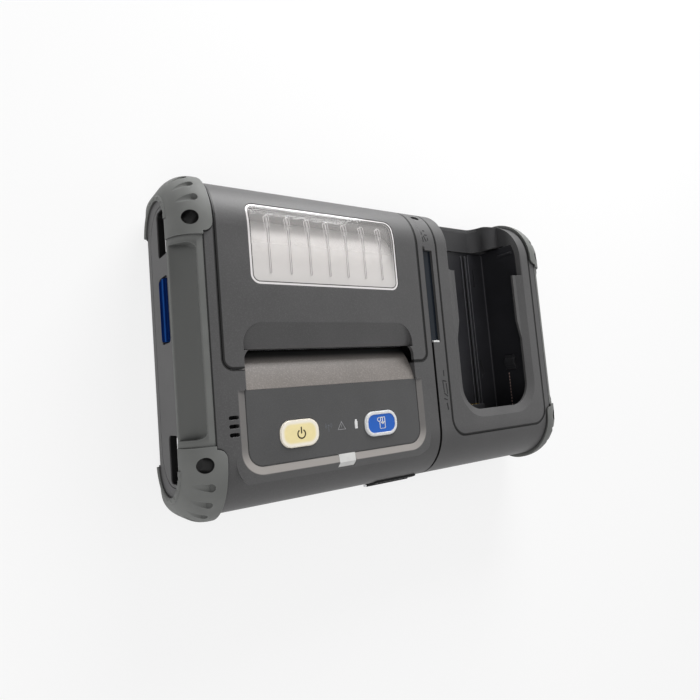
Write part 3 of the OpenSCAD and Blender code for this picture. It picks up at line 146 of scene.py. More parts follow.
class Finish:
    # a Principled material with its coordinates in millimetres
    def __init__(self, name, roughness=0.5, metallic=0.0, **fixed):
        self.material = bpy.data.materials.new(name)
        self.material.use_nodes = True
        self.tree = self.material.node_tree
        self.shader = self.tree.nodes["Principled BSDF"]
        self.set(Roughness=roughness, Metallic=metallic, **fixed)
        place = self.node("ShaderNodeTexCoord", None, "Object")
        self.inMm = self.node("ShaderNodeVectorMath", {"operation": "SCALE"}, Vector=place, Scale=1000.0)
        split = self.node("ShaderNodeSeparateXYZ", Vector=self.inMm).socket.node
        self.x, self.y, self.z = (Wire(self.tree, o) for o in split.outputs)

    def node(self, kind, settings=None, out=0, numbered=None, **inputs):
        return newNode(self.tree, kind, settings, out, numbered, **inputs)

    def set(self, **inputs):
        for key, value in inputs.items():
            feed(self.tree, self.shader.inputs[key.replace("_", " ")], value)

    def noise(self, size, detail=2.0, rough=0.5, stretch=None):   # size in mm
        vector = self.inMm
        if stretch:
            vector = self.node("ShaderNodeVectorMath", {"operation": "MULTIPLY"}, 0,
                               {0: vector, 1: stretch})
        return self.node("ShaderNodeTexNoise",
                         Vector=vector, Scale=1.0 / size, Detail=detail, Roughness=rough)

    def mix(self, factor, a, b):
        return self.node("ShaderNodeMix", {"data_type": "RGBA"}, 2, {0: factor, 6: a, 7: b})

    def vary(self, colour, wave, down, up, low=0.3, high=0.7):    # a colour drifting with a noise
        return self.mix(wave.ramp(low, high), scaled(colour, down), scaled(colour, up))

    def bump(self, height, distance, normal=None):                # distance in metres
        return self.node("ShaderNodeBump", Height=height, Distance=distance, Strength=1.0, Normal=normal)

    def softEdges(self, radius):                 # rounds the edges of a moulding in the shading
        return self.node("ShaderNodeBevel", {"samples": 4}, Radius=radius)

    def hollows(self, reach):                    # 1 in the open, lower in corners and grooves
        return self.node("ShaderNodeAmbientOcclusion", {"samples": 6}, 1, Distance=reach)

    def edges(self, radius):                     # 1 along the edges of a moulding
        flat = self.node("ShaderNodeNewGeometry", None, "Normal")
        turn = self.node("ShaderNodeVectorMath", {"operation": "DOT_PRODUCT"}, "Value",
                         {0: self.softEdges(radius), 1: flat})
        return turn.fade(0.80, 0.985)

    def outline(self, place):                    # distance from a rounded rectangle, negative inside
        x0, y0, x1, y1, corner = place
        across = abs(self.x - (x0 + x1) / 2) - ((x1 - x0) / 2 - corner)
        along = abs(self.y - (y0 + y1) / 2) - ((y1 - y0) / 2 - corner)
        a, b = across.atLeast(0.0), along.atLeast(0.0)
        return (a * a + b * b).root() + across.atLeast(along).atMost(0.0) - corner


seamLook = {                                     # pairs: half a gap, and where its shade ends
    "cover": (0.85, 1.45),
    "bezel": (0.7, 1.3),
    "end": (0.45, 1.05),
    "exitEdge": (-0.6, 0.2),
    "cardSlot": {"x": 19.4, "half": (0.8, 1.35), "top": (64.0, 66.0), "low": (44.0, 48.0)},
    "black": (0.003, 0.003, 0.003),
}


def seamShade(f):                                # 1 along the gaps between mouldings and in the card slot
    cover = abs(f.outline(layout["cover"])).fade(*seamLook["cover"])
    cover = cover * f.outline(layout["exit"]).ramp(*seamLook["exitEdge"])
    bezel = abs(f.outline(layout["bezel"])).fade(*seamLook["bezel"])
    reach, begin, corner = layout["lobe"]
    a = (reach - abs(f.x) + corner).atLeast(0.0)
    b = (begin - abs(f.y) + corner).atLeast(0.0)
    lobe = (a * a + b * b).root() - corner
    end = abs(lobe.atMost(layout["shellEnd"] - abs(f.x))).fade(*seamLook["end"])
    k = seamLook["cardSlot"]
    cardSlot = abs(f.x - k["x"]).fade(*k["half"]) * f.y.fade(*k["top"]) * f.z.ramp(*k["low"])
    return cover.atLeast(bezel).atLeast(end).atLeast(cardSlot)


openingLook = {
    "strapX": (120.0, 122.0, 157.9, 158.8),      # where the painted shade of a strap slot sets in and ends
    "strapY": (49.6, 50.6, 78.6, 79.6),
    "strapZ": (25.8, 26.8, 44.4, 45.4),
    "lanyardX": 150.0,
    "lanyardY": 67.5,
    "lanyardEdge": (4.05, 4.35),
    "lanyardLow": (2.0, 3.0),
    # painted shade inside the openings, near black
    "inPlastic": (0.002, 0.002, 0.002),
    "inRubber": (0.003, 0.003, 0.003),
}


def paintedHoleShade(f):                               # painted shade: 1 inside the strap slots and lanyard holes of the ends
    k = openingLook
    strap = abs(f.x).zone(*k["strapX"]) * abs(f.y).zone(*k["strapY"]) * f.z.zone(*k["strapZ"])
    a, b = abs(f.x) - k["lanyardX"], abs(f.y) - k["lanyardY"]
    lanyard = (a * a + b * b).root().fade(*k["lanyardEdge"]) * f.z.ramp(*k["lanyardLow"])
    return strap.atLeast(lanyard)


frameLook = {                                    # the sloping frame round the panel, smoother, and lighter by a painted highlight
    "colour": (0.33, 0.31, 0.295),
    "litBand": (0.15, 0.5, 4.2, 5.0),
    "begin": (28.0, 32.0),                       # millimetres below the middle
    "sides": (60.0, 72.0, 0.35, 1.0),            # painted highlight: the sides are greyer than the lower bar, which faces the light
    # painted shade: a dark line round the panel's edge
    "line": (0.2, 0.6, 0.85, 0.0),
    "lineBegin": (28.0, 29.4),
    "shadeLineColour": (0.01, 0.01, 0.01),
}
saddleLook = {                                   # painted shade: the hollow for the handheld's head lies in the dark
    "colour": (0.020, 0.020, 0.022),
    "x": (39.0, 45.0),
    "y": (74.0, 80.0),
    "z": (46.0, 56.0),
    "depth": 0.75,
}
exitShadeLook = {"colour": (0.006, 0.006, 0.006), "y": (-14.5, -9.0)}   # painted shade: the ramp's upper end, deep in the exit
plasticLook = {
    "gloss": 0.25,
    "patch": 38.0,                               # millimetres over which the colour drifts
    "speckTint": (1.9, 0.02),
    "edge": 0.0004,
    "edgeReach": 1.4,
    "edgeHighlightTint": (3.0, 0.05),                     # edges carry a painted highlight, lighter
}


# painted highlight on the panel's sloping frame, and a painted shade line round the panel
def paintFrameLightAndShade(f, base):
    out, down = f.outline(layout["panel"]), -f.y
    litBand = out.zone(*frameLook["litBand"]) * down.ramp(*frameLook["begin"])
    base = f.mix(litBand * down.ramp(*frameLook["sides"]), base, frameLook["colour"])
    line = abs(out).ramp(*frameLook["line"]) * down.ramp(*frameLook["lineBegin"])
    return f.mix(line, base, frameLook["shadeLineColour"])


# painted shade in the saddle's hollow
def paintSaddleShade(f, base):
    deep = f.y.ramp(*saddleLook["y"]) * f.z.fade(*saddleLook["z"]) * f.x.ramp(*saddleLook["x"])
    return f.mix(deep * saddleLook["depth"], base, saddleLook["colour"])


def mouldedPlastic(name, colour, grain=0.35, depth=0.00004, roughness=0.48, speckAndSheen=0.18, shine=0.0,
                   seams=False, frame=False, saddle=False, openings=False, exitShade=False):
    k = plasticLook
    f = Finish(name, roughness, Specular_IOR_Level=k["gloss"])
    fine = f.noise(grain, 3.0, 0.6)
    broad = f.noise(k["patch"], 3.0)
    speck = f.noise(grain * 1.7, 1.0)
    base = f.vary(colour, broad, 0.94, 1.05, 0.35, 0.65)
    # lighter specks in the grain
    base = f.mix(speck.ramp(0.45, 0.75) * speckAndSheen, base, scaled(colour, *k["speckTint"]))
    if frame:
        # painted highlight on the frame and painted shade round the panel
        base = paintFrameLightAndShade(f, base)
    if shine:
        # painted highlight along the moulding's edges
        edgeHighlight = f.edges(k["edge"] * k["edgeReach"]) * shine
        base = f.mix(edgeHighlight, base, scaled(colour, *k["edgeHighlightTint"]))
    if saddle:
        # painted shade in the saddle's hollow
        base = paintSaddleShade(f, base)
    if exitShade:
        # painted shade, darkening the ramp towards the cover's lip
        base = f.mix(f.y.ramp(*exitShadeLook["y"]), base, exitShadeLook["colour"])
    if seams:
        base = f.mix(seamShade(f), base, seamLook["black"])
    if seams or openings:
        # painted shade inside the strap slots and lanyard holes
        base = f.mix(paintedHoleShade(f), base, openingLook["inPlastic"])
    f.set(Base_Color=base)
    f.set(Roughness=roughness + (broad - 0.5) * 0.14)
    f.set(Normal=f.bump(fine, depth, f.softEdges(k["edge"])))
    return f.material


bumperLook = {
    "channelX": 161.3,                           # a cylinder's axis: the channel between the lobes
    "channelZ": 59.7,
    "channelRadius": 13.5,
    "channelEdge": (0.1, 0.9),
    "channelEnds": (53.0, 57.0),
    "channelShade": 0.72,
    # painted highlight along the rubber's edges, lighter
    "speckAndSheen": 0.35,
    "sheenReach": 0.0009,
    "sheenTint": 2.2,
    "hollowReach": 0.004,
    "hollow": (0.35, 0.95, 0.9, 0.0),            # open light from and to, and the shade there
    "hollowShade": 0.16,
}


def softRubber(name, colour, bumper=False):
    f = Finish(name, 0.6, Specular_IOR_Level=0.15)
    broad = f.noise(22.0, 3.0)
    fine = f.noise(0.5, 2.0)
    base = f.vary(colour, broad, 0.92, 1.06)
    if bumper:
        k = bumperLook
        across, deep = k["channelX"] - abs(f.x), f.z - k["channelZ"]
        wall = (across * across + deep * deep).root() - k["channelRadius"]
        channel = wall.fade(*k["channelEdge"]) * abs(f.y).fade(*k["channelEnds"])
        base = f.mix(channel, base, scaled(colour, k["channelShade"]))
        # painted highlight along the rubber's edges
        base = f.mix(f.edges(k["sheenReach"]) * k["speckAndSheen"], base, scaled(colour, k["sheenTint"]))
        # painted shade inside the strap slots and lanyard holes
        base = f.mix(paintedHoleShade(f), base, openingLook["inRubber"])
        hollow = f.hollows(k["hollowReach"]).ramp(*k["hollow"])
        base = f.mix(hollow, base, scaled(colour, k["hollowShade"]))
    f.set(Base_Color=base)
    f.set(Roughness=0.56 + (broad - 0.5) * 0.2)
    f.set(Normal=f.bump(fine, 0.00002, f.softEdges(0.0006)))
    return f.material


def brushedMetal(name, colour, roughness=0.32, metallic=1.0):
    f = Finish(name, roughness, metallic)
    streak = f.noise(0.6, 2.0, 0.6, (0.04, 1.0, 1.0))
    f.set(Base_Color=f.vary(colour, streak, 0.86, 1.0))
    f.set(Roughness=roughness + (streak - 0.5) * 0.2)
    f.set(Normal=f.bump(streak, 0.00001, f.softEdges(0.0002)))
    return f.material


def plain(name, colour, roughness, **more):
    f = Finish(name, roughness, **more)
    broad = f.noise(9.0, 3.0)
    f.set(Base_Color=f.vary(colour, broad, 0.93, 1.04))
    f.set(Roughness=roughness + (broad - 0.5) * 0.1)
    f.set(Normal=f.bump(f.noise(0.4, 2.0), 0.00001, f.softEdges(0.0003)))
    return f.material


def ink(name, colour):                           # printed or inlaid marks, too thin for softened edges
    f = Finish(name, 0.5, Specular_IOR_Level=0.25)
    broad = f.noise(1.5, 2.0)
    f.set(Base_Color=f.vary(colour, broad, 0.93, 1.05))
    f.set(Roughness=0.5 + (broad - 0.5) * 0.15)
    f.set(Normal=f.bump(f.noise(0.25, 2.0), 0.000005))
    return f.material


def keyPad(name, x, pad, rim, deep, sharp):      # paler round its edge, from deep to sharp inside it
    f = Finish(name, 0.4, Specular_IOR_Level=0.3)
    out = f.outline(keyPlace(x, 0.0))
    broad = f.noise(6.0, 3.0)
    base = f.vary(pad, broad, 0.95, 1.0)
    f.set(Base_Color=f.mix(out.ramp(-deep, -sharp), base, rim))
    f.set(Roughness=0.38 + (broad - 0.5) * 0.1)
    f.set(Normal=f.bump(f.noise(0.4, 2.0), 0.000008, f.softEdges(0.0005)))
    return f.material


releaseLook = {
    "low": (0.004, 0.018, 0.10),
    "high": (0.005, 0.024, 0.13),
    "stripe": (0.02, 0.10, 0.36),                # a lit line along the button
    "stripeZ": 34.2,
    "stripeHalf": (0.5, 1.8),
    "stripeDepth": 0.8,
}


def releaseBlue():
    k = releaseLook
    f = Finish("releaseBlue", 0.35, Specular_IOR_Level=0.0)
    broad = f.noise(9.0, 3.0)
    base = f.mix(broad.ramp(0.3, 0.7), k["low"], k["high"])
    stripe = abs(f.z - k["stripeZ"]).fade(*k["stripeHalf"]) * k["stripeDepth"]
    f.set(Base_Color=f.mix(stripe, base, k["stripe"]))
    f.set(Roughness=0.35 + (broad - 0.5) * 0.1)
    f.set(Normal=f.softEdges(0.0004))
    return f.material


rollLook = {
    "half": 56.0,
    "y": 53.0,
    "z": 30.0,
    "turns": 12.0,
    "face": (0.93, 0.90, 0.885),
    "edge": (0.60, 0.56, 0.53),
}


def thermalPaper():                              # smooth outside, its turns show on the ends
    k = rollLook
    f = Finish("thermalPaper", 0.6)
    fibre = f.noise(25.0, 3.0)
    base = f.vary(k["face"], fibre, 0.985, 1.0)
    a, b = f.y - k["y"], f.z - k["z"]
    turns = ((a * a + b * b).root() * k["turns"]).sine()
    ends = abs(f.x - layout["coverMiddle"]).ramp(k["half"] - 0.5, k["half"] - 0.1)
    f.set(Base_Color=f.mix(ends * turns.ramp(-1.0, 1.0, 0.1, 0.45), base, k["edge"]))
    f.set(Roughness=0.58 + (fibre - 0.5) * 0.08)
    f.set(Normal=f.bump(f.noise(0.3, 2.0), 0.000006))
    return f.material


linerLook = {
    "floor": 20.2,
    "onFloor": (0.3, 0.9),                       # how far over the floor its marks reach
    "railEnd": (74.0, 75.5),
    "rails": (100.7, 105.6, 108.8),
    "railHalf": (0.12, 0.42),
    "groove": (102.5, 105.2),
    "grooveEdge": 0.2,
    "corner": 126.2,
    # painted highlight along the corner of floor and wall
    "cornerHighlight": (0.2, 0.9, 0.6, 0.0),
    "black": (0.020, 0.020, 0.023),
    # painted shade in the groove between the rails
    "deep": (0.003, 0.003, 0.003),
    # the colour of the painted highlights
    "edge": (0.11, 0.11, 0.12),
}


def linerBlack():                                # glossy black pocket, with painted highlights along its rails and far corner and painted shade in the groove between the rails
    k = linerLook
    f = Finish("linerBlack", 0.34, Specular_IOR_Level=0.25)
    broad = f.noise(30.0, 3.0)
    near, far = k["onFloor"]
    low = f.z.fade(k["floor"] + near, k["floor"] + far)
    onRails = low * f.y.fade(*k["railEnd"])
    left, right = k["groove"]
    e = k["grooveEdge"]
    groove = f.x.zone(left - e, left + e, right - e, right + e)
    base = f.vary(k["black"], broad, 0.9, 1.1, 0.35, 0.65)
    # painted shade in the groove between the rails
    base = f.mix(onRails * groove, base, k["deep"])
    # painted highlights along the rails
    railHighlights = abs(f.x - k["rails"][0]).fade(*k["railHalf"])
    for x in k["rails"][1:]:
        railHighlights = railHighlights.atLeast(abs(f.x - x).fade(*k["railHalf"]))
    base = f.mix(railHighlights * onRails, base, k["edge"])
    # painted highlight along the floor's far corner
    base = f.mix(abs(f.x - k["corner"]).ramp(*k["cornerHighlight"]) * low, base, k["edge"])
    f.set(Base_Color=base)
    f.set(Roughness=0.34 + (broad - 0.5) * 0.12)
    f.set(Normal=f.bump(f.noise(0.4, 2.0), 0.000008, f.softEdges(0.0005)))
    return f.material


windowLook = {
    "clear": 0.18,                               # how much of the film shows
    "glare": 0.42,                               # a painted reflection: how much more shows in the lower half
    "glareY": (36.0, 66.0),
    "border": 1.35,
    "borderFade": (-0.25, 0.1),
    "borderLine": 0.5,                           # how far inside the border its dark line runs
    "edgeLine": (-0.45, -0.15),
    "ribs": 7,
    "pitch": 13.9,
    "ribLow": 38.5,
    "ribHigh": 74.0,
    "stemEnd": 7.0,                              # below ribHigh the stem ends and the keyhole begins
    "loopBegin": 9.0,
    "loop": 1.1,
    "loopHalf": 2.9,
    "loopDrop": 4.0,
    # painted highlight on one side of each rib, painted shade on the other
    "bright": (0.15, 0.4),
    "ribHighlightAt": -0.35,
    "dark": (0.15, 0.45),
    "darkAt": 0.3,
    "film": (0.95, 0.92, 0.90),
    # the colour of the frosted border and of the painted rib highlights
    "print": (0.86, 0.83, 0.83),
    "shade": (0.20, 0.18, 0.18),
    "line": (0.03, 0.03, 0.03),
}


def clearWindow():
    k = windowLook
    f = Finish("clearWindow", 0.06, 0.0)
    out = f.outline(layout["window"])
    # the frosted border, with a painted highlight where its bevel catches light
    rim = (out + k["border"]).ramp(*k["borderFade"])
    line = abs(out + k["border"] + k["borderLine"]).fade(*k["dark"]).atLeast(out.ramp(*k["edgeLine"]))
    half = k["pitch"] * k["ribs"] / 2            # folds all the ribs onto one
    fold = (f.x - layout["coverMiddle"] + half).modulo(k["pitch"]) - k["pitch"] / 2
    onRibs = abs(f.x - layout["coverMiddle"]).fade(half - 0.2, half)
    low, high = k["ribLow"], k["ribHigh"]
    loopY = (abs(f.y - (high - k["loopDrop"])) - k["loopHalf"]).atLeast(0.0)
    loop = (fold * fold + loopY * loopY).root()
    stem = (f.y - low).ramp(-0.3, 0.5) * (high - k["stemEnd"] - f.y).ramp(-0.3, 0.5)
    # painted highlight along each rib
    bright = abs(loop - k["loop"]).fade(*k["bright"]) * (f.y - high + k["loopBegin"]).ramp(-0.4, 0.4)
    bright = bright.atLeast(abs(fold - k["ribHighlightAt"]).fade(*k["bright"]) * stem) * onRibs
    # painted shade along the other side of each rib
    shade = abs(fold - k["darkAt"]).fade(*k["dark"]) * stem * onRibs
    colour = f.mix(rim.atLeast(bright), k["film"], k["print"])
    colour = f.mix(shade * 0.8, colour, k["shade"])
    f.set(Base_Color=f.mix(line, colour, k["line"]))
    # the painted reflection in the lower half shows more of the film
    seen = k["clear"] + f.y.ramp(*k["glareY"], k["glare"], 0.0) + rim * 0.7
    for mark, depth in ((bright, 0.75), (shade, 0.6), (line, 0.85)):
        seen = seen.atLeast(mark * depth)
    f.set(Alpha=seen.atMost(1.0))
    f.set(Roughness=0.05 + f.noise(14.0, 3.0).ramp(0.4, 0.8) * 0.05)
    f.set(Normal=f.softEdges(0.0004))
    return f.material


bodyGrey = (0.084, 0.083, 0.084)
finishes = {
    "housing_plastic": mouldedPlastic("housingGrey", bodyGrey, shine=0.3, seams=True, frame=True),
    "rear_plastic": mouldedPlastic("rearGrey", (0.060, 0.060, 0.062), shine=0.3, seams=True),
    "cap_plastic": mouldedPlastic("endPlateGrey", (0.080, 0.079, 0.080), 0.5, 0.00002, openings=True),
    "cover_plastic": mouldedPlastic("coverGrey", bodyGrey, shine=0.3, seams=True),
    "panel_plastic": mouldedPlastic("panelFilm", (0.080, 0.080, 0.081), 0.3, 0.00003, 0.55),
    "inner_black": mouldedPlastic("innerBlack", (0.020, 0.020, 0.022), 0.4, 0.00002, 0.5, shine=0.4),
    "liner_black": linerBlack(),
    "pack_wrap": mouldedPlastic("packWrap", (0.03, 0.035, 0.045), 0.6, 0.00002, 0.4),
    "ramp_plastic": mouldedPlastic("rampGrey", (0.215, 0.197, 0.184), 0.45, 0.00003, 0.42, 0.3,
                                   exitShade=True),
    "bumper_rubber": softRubber("bumperRubber", (0.180, 0.184, 0.178), bumper=True),
    "platen_rubber": softRubber("platenRubber", (0.012, 0.012, 0.013)),
    "port_rubber": softRubber("portRubber", (0.011, 0.011, 0.012)),
    "power_key": keyPad("powerKey", layout["powerX"], (1.0, 0.86, 0.46), (1.0, 0.94, 0.82), 3.4, 1.4),
    "feed_key": keyPad("feedKey", layout["feedX"], (0.016, 0.125, 0.55), (0.86, 0.87, 0.88), 2.25, 2.05),
    "release_plastic": releaseBlue(),
    "light_pipe": plain("lightPipe", (0.66, 0.66, 0.65), 0.25),
    "guide_gloss": plain("guideGloss", (0.012, 0.017, 0.024), 0.2, Specular_IOR_Level=0.12),
    "gear_plastic": plain("gearAcetal", (0.62, 0.60, 0.52), 0.4),
    "board": plain("boardMask", (0.01, 0.09, 0.04), 0.3),
    "paper": thermalPaper(),
    "core": plain("coreBoard", (0.30, 0.20, 0.11), 0.8),
    "head_ceramic": plain("headCeramic", (0.62, 0.58, 0.46), 0.25),
    "steel": brushedMetal("zincSteel", (0.56, 0.56, 0.57)),
    "spring_steel": brushedMetal("springSteel", (0.42, 0.42, 0.44)),
    "dome_metal": brushedMetal("domeMetal", (0.62, 0.62, 0.62)),
    "heatsink": brushedMetal("heatSink", (0.66, 0.67, 0.68), 0.38),
    "motor_can": brushedMetal("motorCan", (0.08, 0.08, 0.09), 0.4, 0.6),
    "brass": brushedMetal("turnedBrass", (0.66, 0.45, 0.16)),
    "bush_bronze": brushedMetal("sinteredBronze", (0.48, 0.28, 0.12), 0.5),
    "contact_gold": brushedMetal("contactGold", (0.80, 0.58, 0.22), 0.22),
    "window": clearWindow(),
}
# marks that are printed or stand a tenth of a millimetre proud
whiteInk = ink("whiteInk", (0.80, 0.80, 0.80))
darkInk = ink("darkInk", (0.035, 0.026, 0.010))
greyInk = ink("greyInk", (0.30, 0.30, 0.31))
dimInk = ink("dimInk", (0.135, 0.145, 0.16))
sunkInk = ink("sunkInk", (0.010, 0.010, 0.011))
contactRow = ink("contactRow", (0.42, 0.30, 0.27))

for part in frame["record"]["subparts"]:
    thing = nodes[part["node"]]
    thing.data.materials.clear()
    thing.data.materials.append(finishes[part["material_slot"]])
bezelGrey = mouldedPlastic("bezelGrey", bodyGrey, shine=0.3, seams=True, saddle=True)
nodes["cradle_bezel"].data.materials[0] = bezelGrey      # the only moulding with the saddle and its painted shade
print("finishes set:", len(finishes))


def deselectAll():
    bpy.ops.object.select_all(action="DESELECT")


def closeEdit():
    if bpy.context.mode != "OBJECT":
        bpy.ops.object.mode_set(mode="OBJECT")


def start(kind, name, **how):                    # a primitive, alone selected
    deselectAll()
    getattr(bpy.ops.mesh, "primitive_" + kind + "_add")(**how)
    piece = bpy.context.object
    piece.name = piece.data.name = name
    return piece


def settle():                                    # moves a piece's place, turn and scale into its mesh
    bpy.ops.object.transform_apply(location=True, rotation=True, scale=True)


def pick(piece, what, test):                     # opens edit mode with what passes the test selected
    closeEdit()
    mesh = piece.data
    bpy.ops.object.mode_set(mode="EDIT")
    bpy.ops.mesh.select_mode(type=what)
    bpy.ops.mesh.select_all(action="DESELECT")
    bpy.ops.object.mode_set(mode="OBJECT")
    if what == "VERT":
        for v in mesh.vertices:
            v.select = test(v.co, v.normal)
    elif what == "EDGE":
        for e in mesh.edges:
            a, b = (mesh.vertices[i].co for i in e.vertices)
            e.select = test((a + b) / 2, (a - b).normalized())
    else:
        for p in mesh.polygons:
            p.select = test(p.center, p.normal)
    bpy.ops.object.mode_set(mode="EDIT")


edgeLook = {"steps": 2, "sharperThan": 40, "smoothUpTo": 35, "cornerSteps": 8, "arcStep": 12}


def thicken(piece, thick, edge):                 # millimetres; rounds the edges too
    closeEdit()
    bpy.context.view_layer.objects.active = piece
    solid = piece.modifiers.new("wall", "SOLIDIFY")
    solid.thickness = thick * mm
    solid.offset = 1.0
    bpy.ops.object.modifier_apply(modifier="wall")
    roundEdges(piece, edge)


def roundEdges(piece, edge):
    closeEdit()
    bevel = piece.modifiers.new("edges", "BEVEL")
    bevel.width = edge * mm
    bevel.segments = edgeLook["steps"]
    bevel.limit_method = "ANGLE"
    bevel.angle_limit = math.radians(edgeLook["sharperThan"])
    bpy.ops.object.modifier_apply(modifier="edges")
    bpy.ops.object.shade_smooth_by_angle(angle=math.radians(edgeLook["smoothUpTo"]))


def roundedPlate(name, place, z, thick, edge, rim=None):       # millimetres, lying on z; a ring with a rim
    x0, y0, x1, y1, corner = place
    piece = start("plane", name, size=1, location=((x0 + x1) / 2 * mm, (y0 + y1) / 2 * mm, z * mm))
    piece.scale = ((x1 - x0) * mm, (y1 - y0) * mm, 1)
    settle()
    pick(piece, "VERT", lambda c, n: True)
    bpy.ops.mesh.bevel(offset=corner * mm, segments=edgeLook["cornerSteps"], affect="VERTICES")
    if rim:
        pick(piece, "FACE", lambda c, n: True)
        bpy.ops.mesh.inset(thickness=rim * mm)
        bpy.ops.mesh.delete(type="FACE")
    thicken(piece, thick, edge)
    return piece


def strip(name, x, y, z, width, height, thick, turn=0.0, edge=0.05, lean=0.0):     # small raised bar
    piece = start("cube", name, size=1, location=(x * mm, y * mm, (z + thick / 2) * mm),
                  rotation=(lean, 0, math.radians(turn)))
    piece.scale = (width * mm, height * mm, thick * mm)
    settle()
    pick(piece, "EDGE", lambda c, n: abs(n.z) > 0.8 and abs(n.y) < 0.55)     # its upright corners
    bpy.ops.mesh.bevel(offset=min(width, height) * 0.3 * mm, segments=3, affect="EDGES")
    roundEdges(piece, edge)
    return piece


def arc(name, x, y, z, radius, width, thick, begin, sweep, edge=0.05):   # flat arc, degrees from +X
    a = math.radians(begin)
    onArc = ((x + radius * math.cos(a)) * mm, (y + radius * math.sin(a)) * mm, (z + thick / 2) * mm)
    piece = start("plane", name, size=1, location=onArc, rotation=(math.pi / 2, 0, a))
    piece.scale = (width * mm, thick * mm, 1)
    settle()
    pick(piece, "FACE", lambda c, n: True)
    bpy.ops.mesh.spin(steps=max(4, int(sweep / edgeLook["arcStep"])), angle=math.radians(sweep),
                      center=(x * mm, y * mm, z * mm), axis=(0, 0, -1))
    bpy.ops.mesh.select_all(action="SELECT")
    bpy.ops.mesh.remove_doubles(threshold=0.000002)
    bpy.ops.mesh.normals_make_consistent(inside=False)
    roundEdges(piece, edge)
    return piece


def join(name, pieces):
    closeEdit()
    deselectAll()
    for p in pieces:
        p.select_set(True)
    bpy.context.view_layer.objects.active = pieces[0]
    bpy.ops.object.join()
    pieces[0].name = pieces[0].data.name = name
    return pieces[0]


def fit(piece, body, material):
    piece.data.materials.clear()
    piece.data.materials.append(material)
    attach(piece, body)


sunk = 0.02                                      # how deep a mark sits in its face
powerLook = {
    "shift": 0.8,                                # the mark stands right of the middle of the key
    "line": 0.8,
    "high": 0.12,
    "ringDrop": 0.5,
    "ringRadius": 2.55,
    "ringArc": (122, 296),                       # where the ring begins, and how far it turns
    "barRise": 1.7,
    "barLong": 4.0,
}


def powerKeyTrim():
    k = powerLook
    x, y, z = layout["powerX"] + k["shift"], layout["keyY"], layout["keyTop"] - sunk
    ring = arc("ring", x, y - k["ringDrop"], z, k["ringRadius"], k["line"], k["high"], *k["ringArc"])
    bar = strip("bar", x, y + k["barRise"], z, k["line"], k["barLong"], k["high"])
    fit(join("powerMark", [ring, bar]), "power_key", darkInk)


feedLook = {                                     # places from the middle of the key
    "rim": 1.7,
    "rimInset": 0.45,
    "rimHigh": 0.35,
    "rimSunk": 0.05,
    "rimEdge": 0.15,
    "line": 0.55,
    "high": 0.12,
    "roll": (-1.9, 2.5, 1.25),                   # x, y and radius
    "top": (0.6, 3.7, 4.6),                      # x, y and length
    "sides": [(-1.5, -1.0, 4.6), (2.7, 0.2, 7.2)],
    "dashes": [(-0.9, -3.4, 0.9), (0.6, -3.4, 0.9), (2.1, -3.4, 0.9)],
    "arrow": 1.3,                                # its lines are wider than the rest
    "shaft": (0.8, 1.6, 3.6),
    "heads": (0.8, 0.2, 2.1),
    "headOut": 0.7,
    "headTurn": -42,
}


def feedKeyTrim():
    k = feedLook
    x, y, top = layout["feedX"], layout["keyY"], layout["keyTop"]
    place = keyPlace(x, k["rimInset"])
    rim = roundedPlate("feedRim", place, top - k["rimSunk"], k["rimHigh"], k["rimEdge"], k["rim"])
    fit(rim, "feed_key", whiteInk)
    low, w, h = top - sunk, k["line"], k["high"]
    a, b, radius = k["roll"]
    marks = [arc("roll", x + a, y + b, low, radius, w, h, 0, 360)]
    a, b, long = k["top"]
    marks.append(strip("top", x + a, y + b, low, long, w, h))
    a, b, long = k["shaft"]
    marks.append(strip("shaft", x + a, y + b, low, w * k["arrow"], long, h))
    marks += [strip("side", x + a, y + b, low, w, long, h) for a, b, long in k["sides"]]
    marks += [strip("dash", x + a, y + b, low, long, w, h) for a, b, long in k["dashes"]]
    a, b, long = k["heads"]
    for s in (-1, 1):
        out = x + a + s * k["headOut"]
        marks.append(strip("head", out, y + b, low, w * k["arrow"], long, h, s * k["headTurn"]))
    fit(join("feedMark", marks), "feed_key", whiteInk)


powerKeyTrim()
feedKeyTrim()
print("keys trimmed")

panelLook = {                                    # the marks' middles, and their parts' places from there
    "line": 0.32,
    "high": 0.06,
    "edge": 0.03,
    "waves": (-71.9, -55.3),
    "mast": (-1.0, 3.6),                         # y and length
    "dot": (1.0, 0.32, 0.5),                     # y, radius and width
    "waveRise": 0.9,
    "waveRadii": (1.4, 2.3),
    "waveArcs": ((-42, 84), (138, 84)),
    "sign": (-62.4, -55.4),
    "signDrop": 0.5,
    "signRadius": 3.6,
    "signLine": 0.42,
    "signStroke": 1.7,
    "cell": (-51.4, -55.2),
    "cellBody": (1.1, -2.9, 1.7, 0.4),           # half width, lower end, upper end and corner
    "cellCap": (0.65, 1.6, 2.9, 0.4),
}


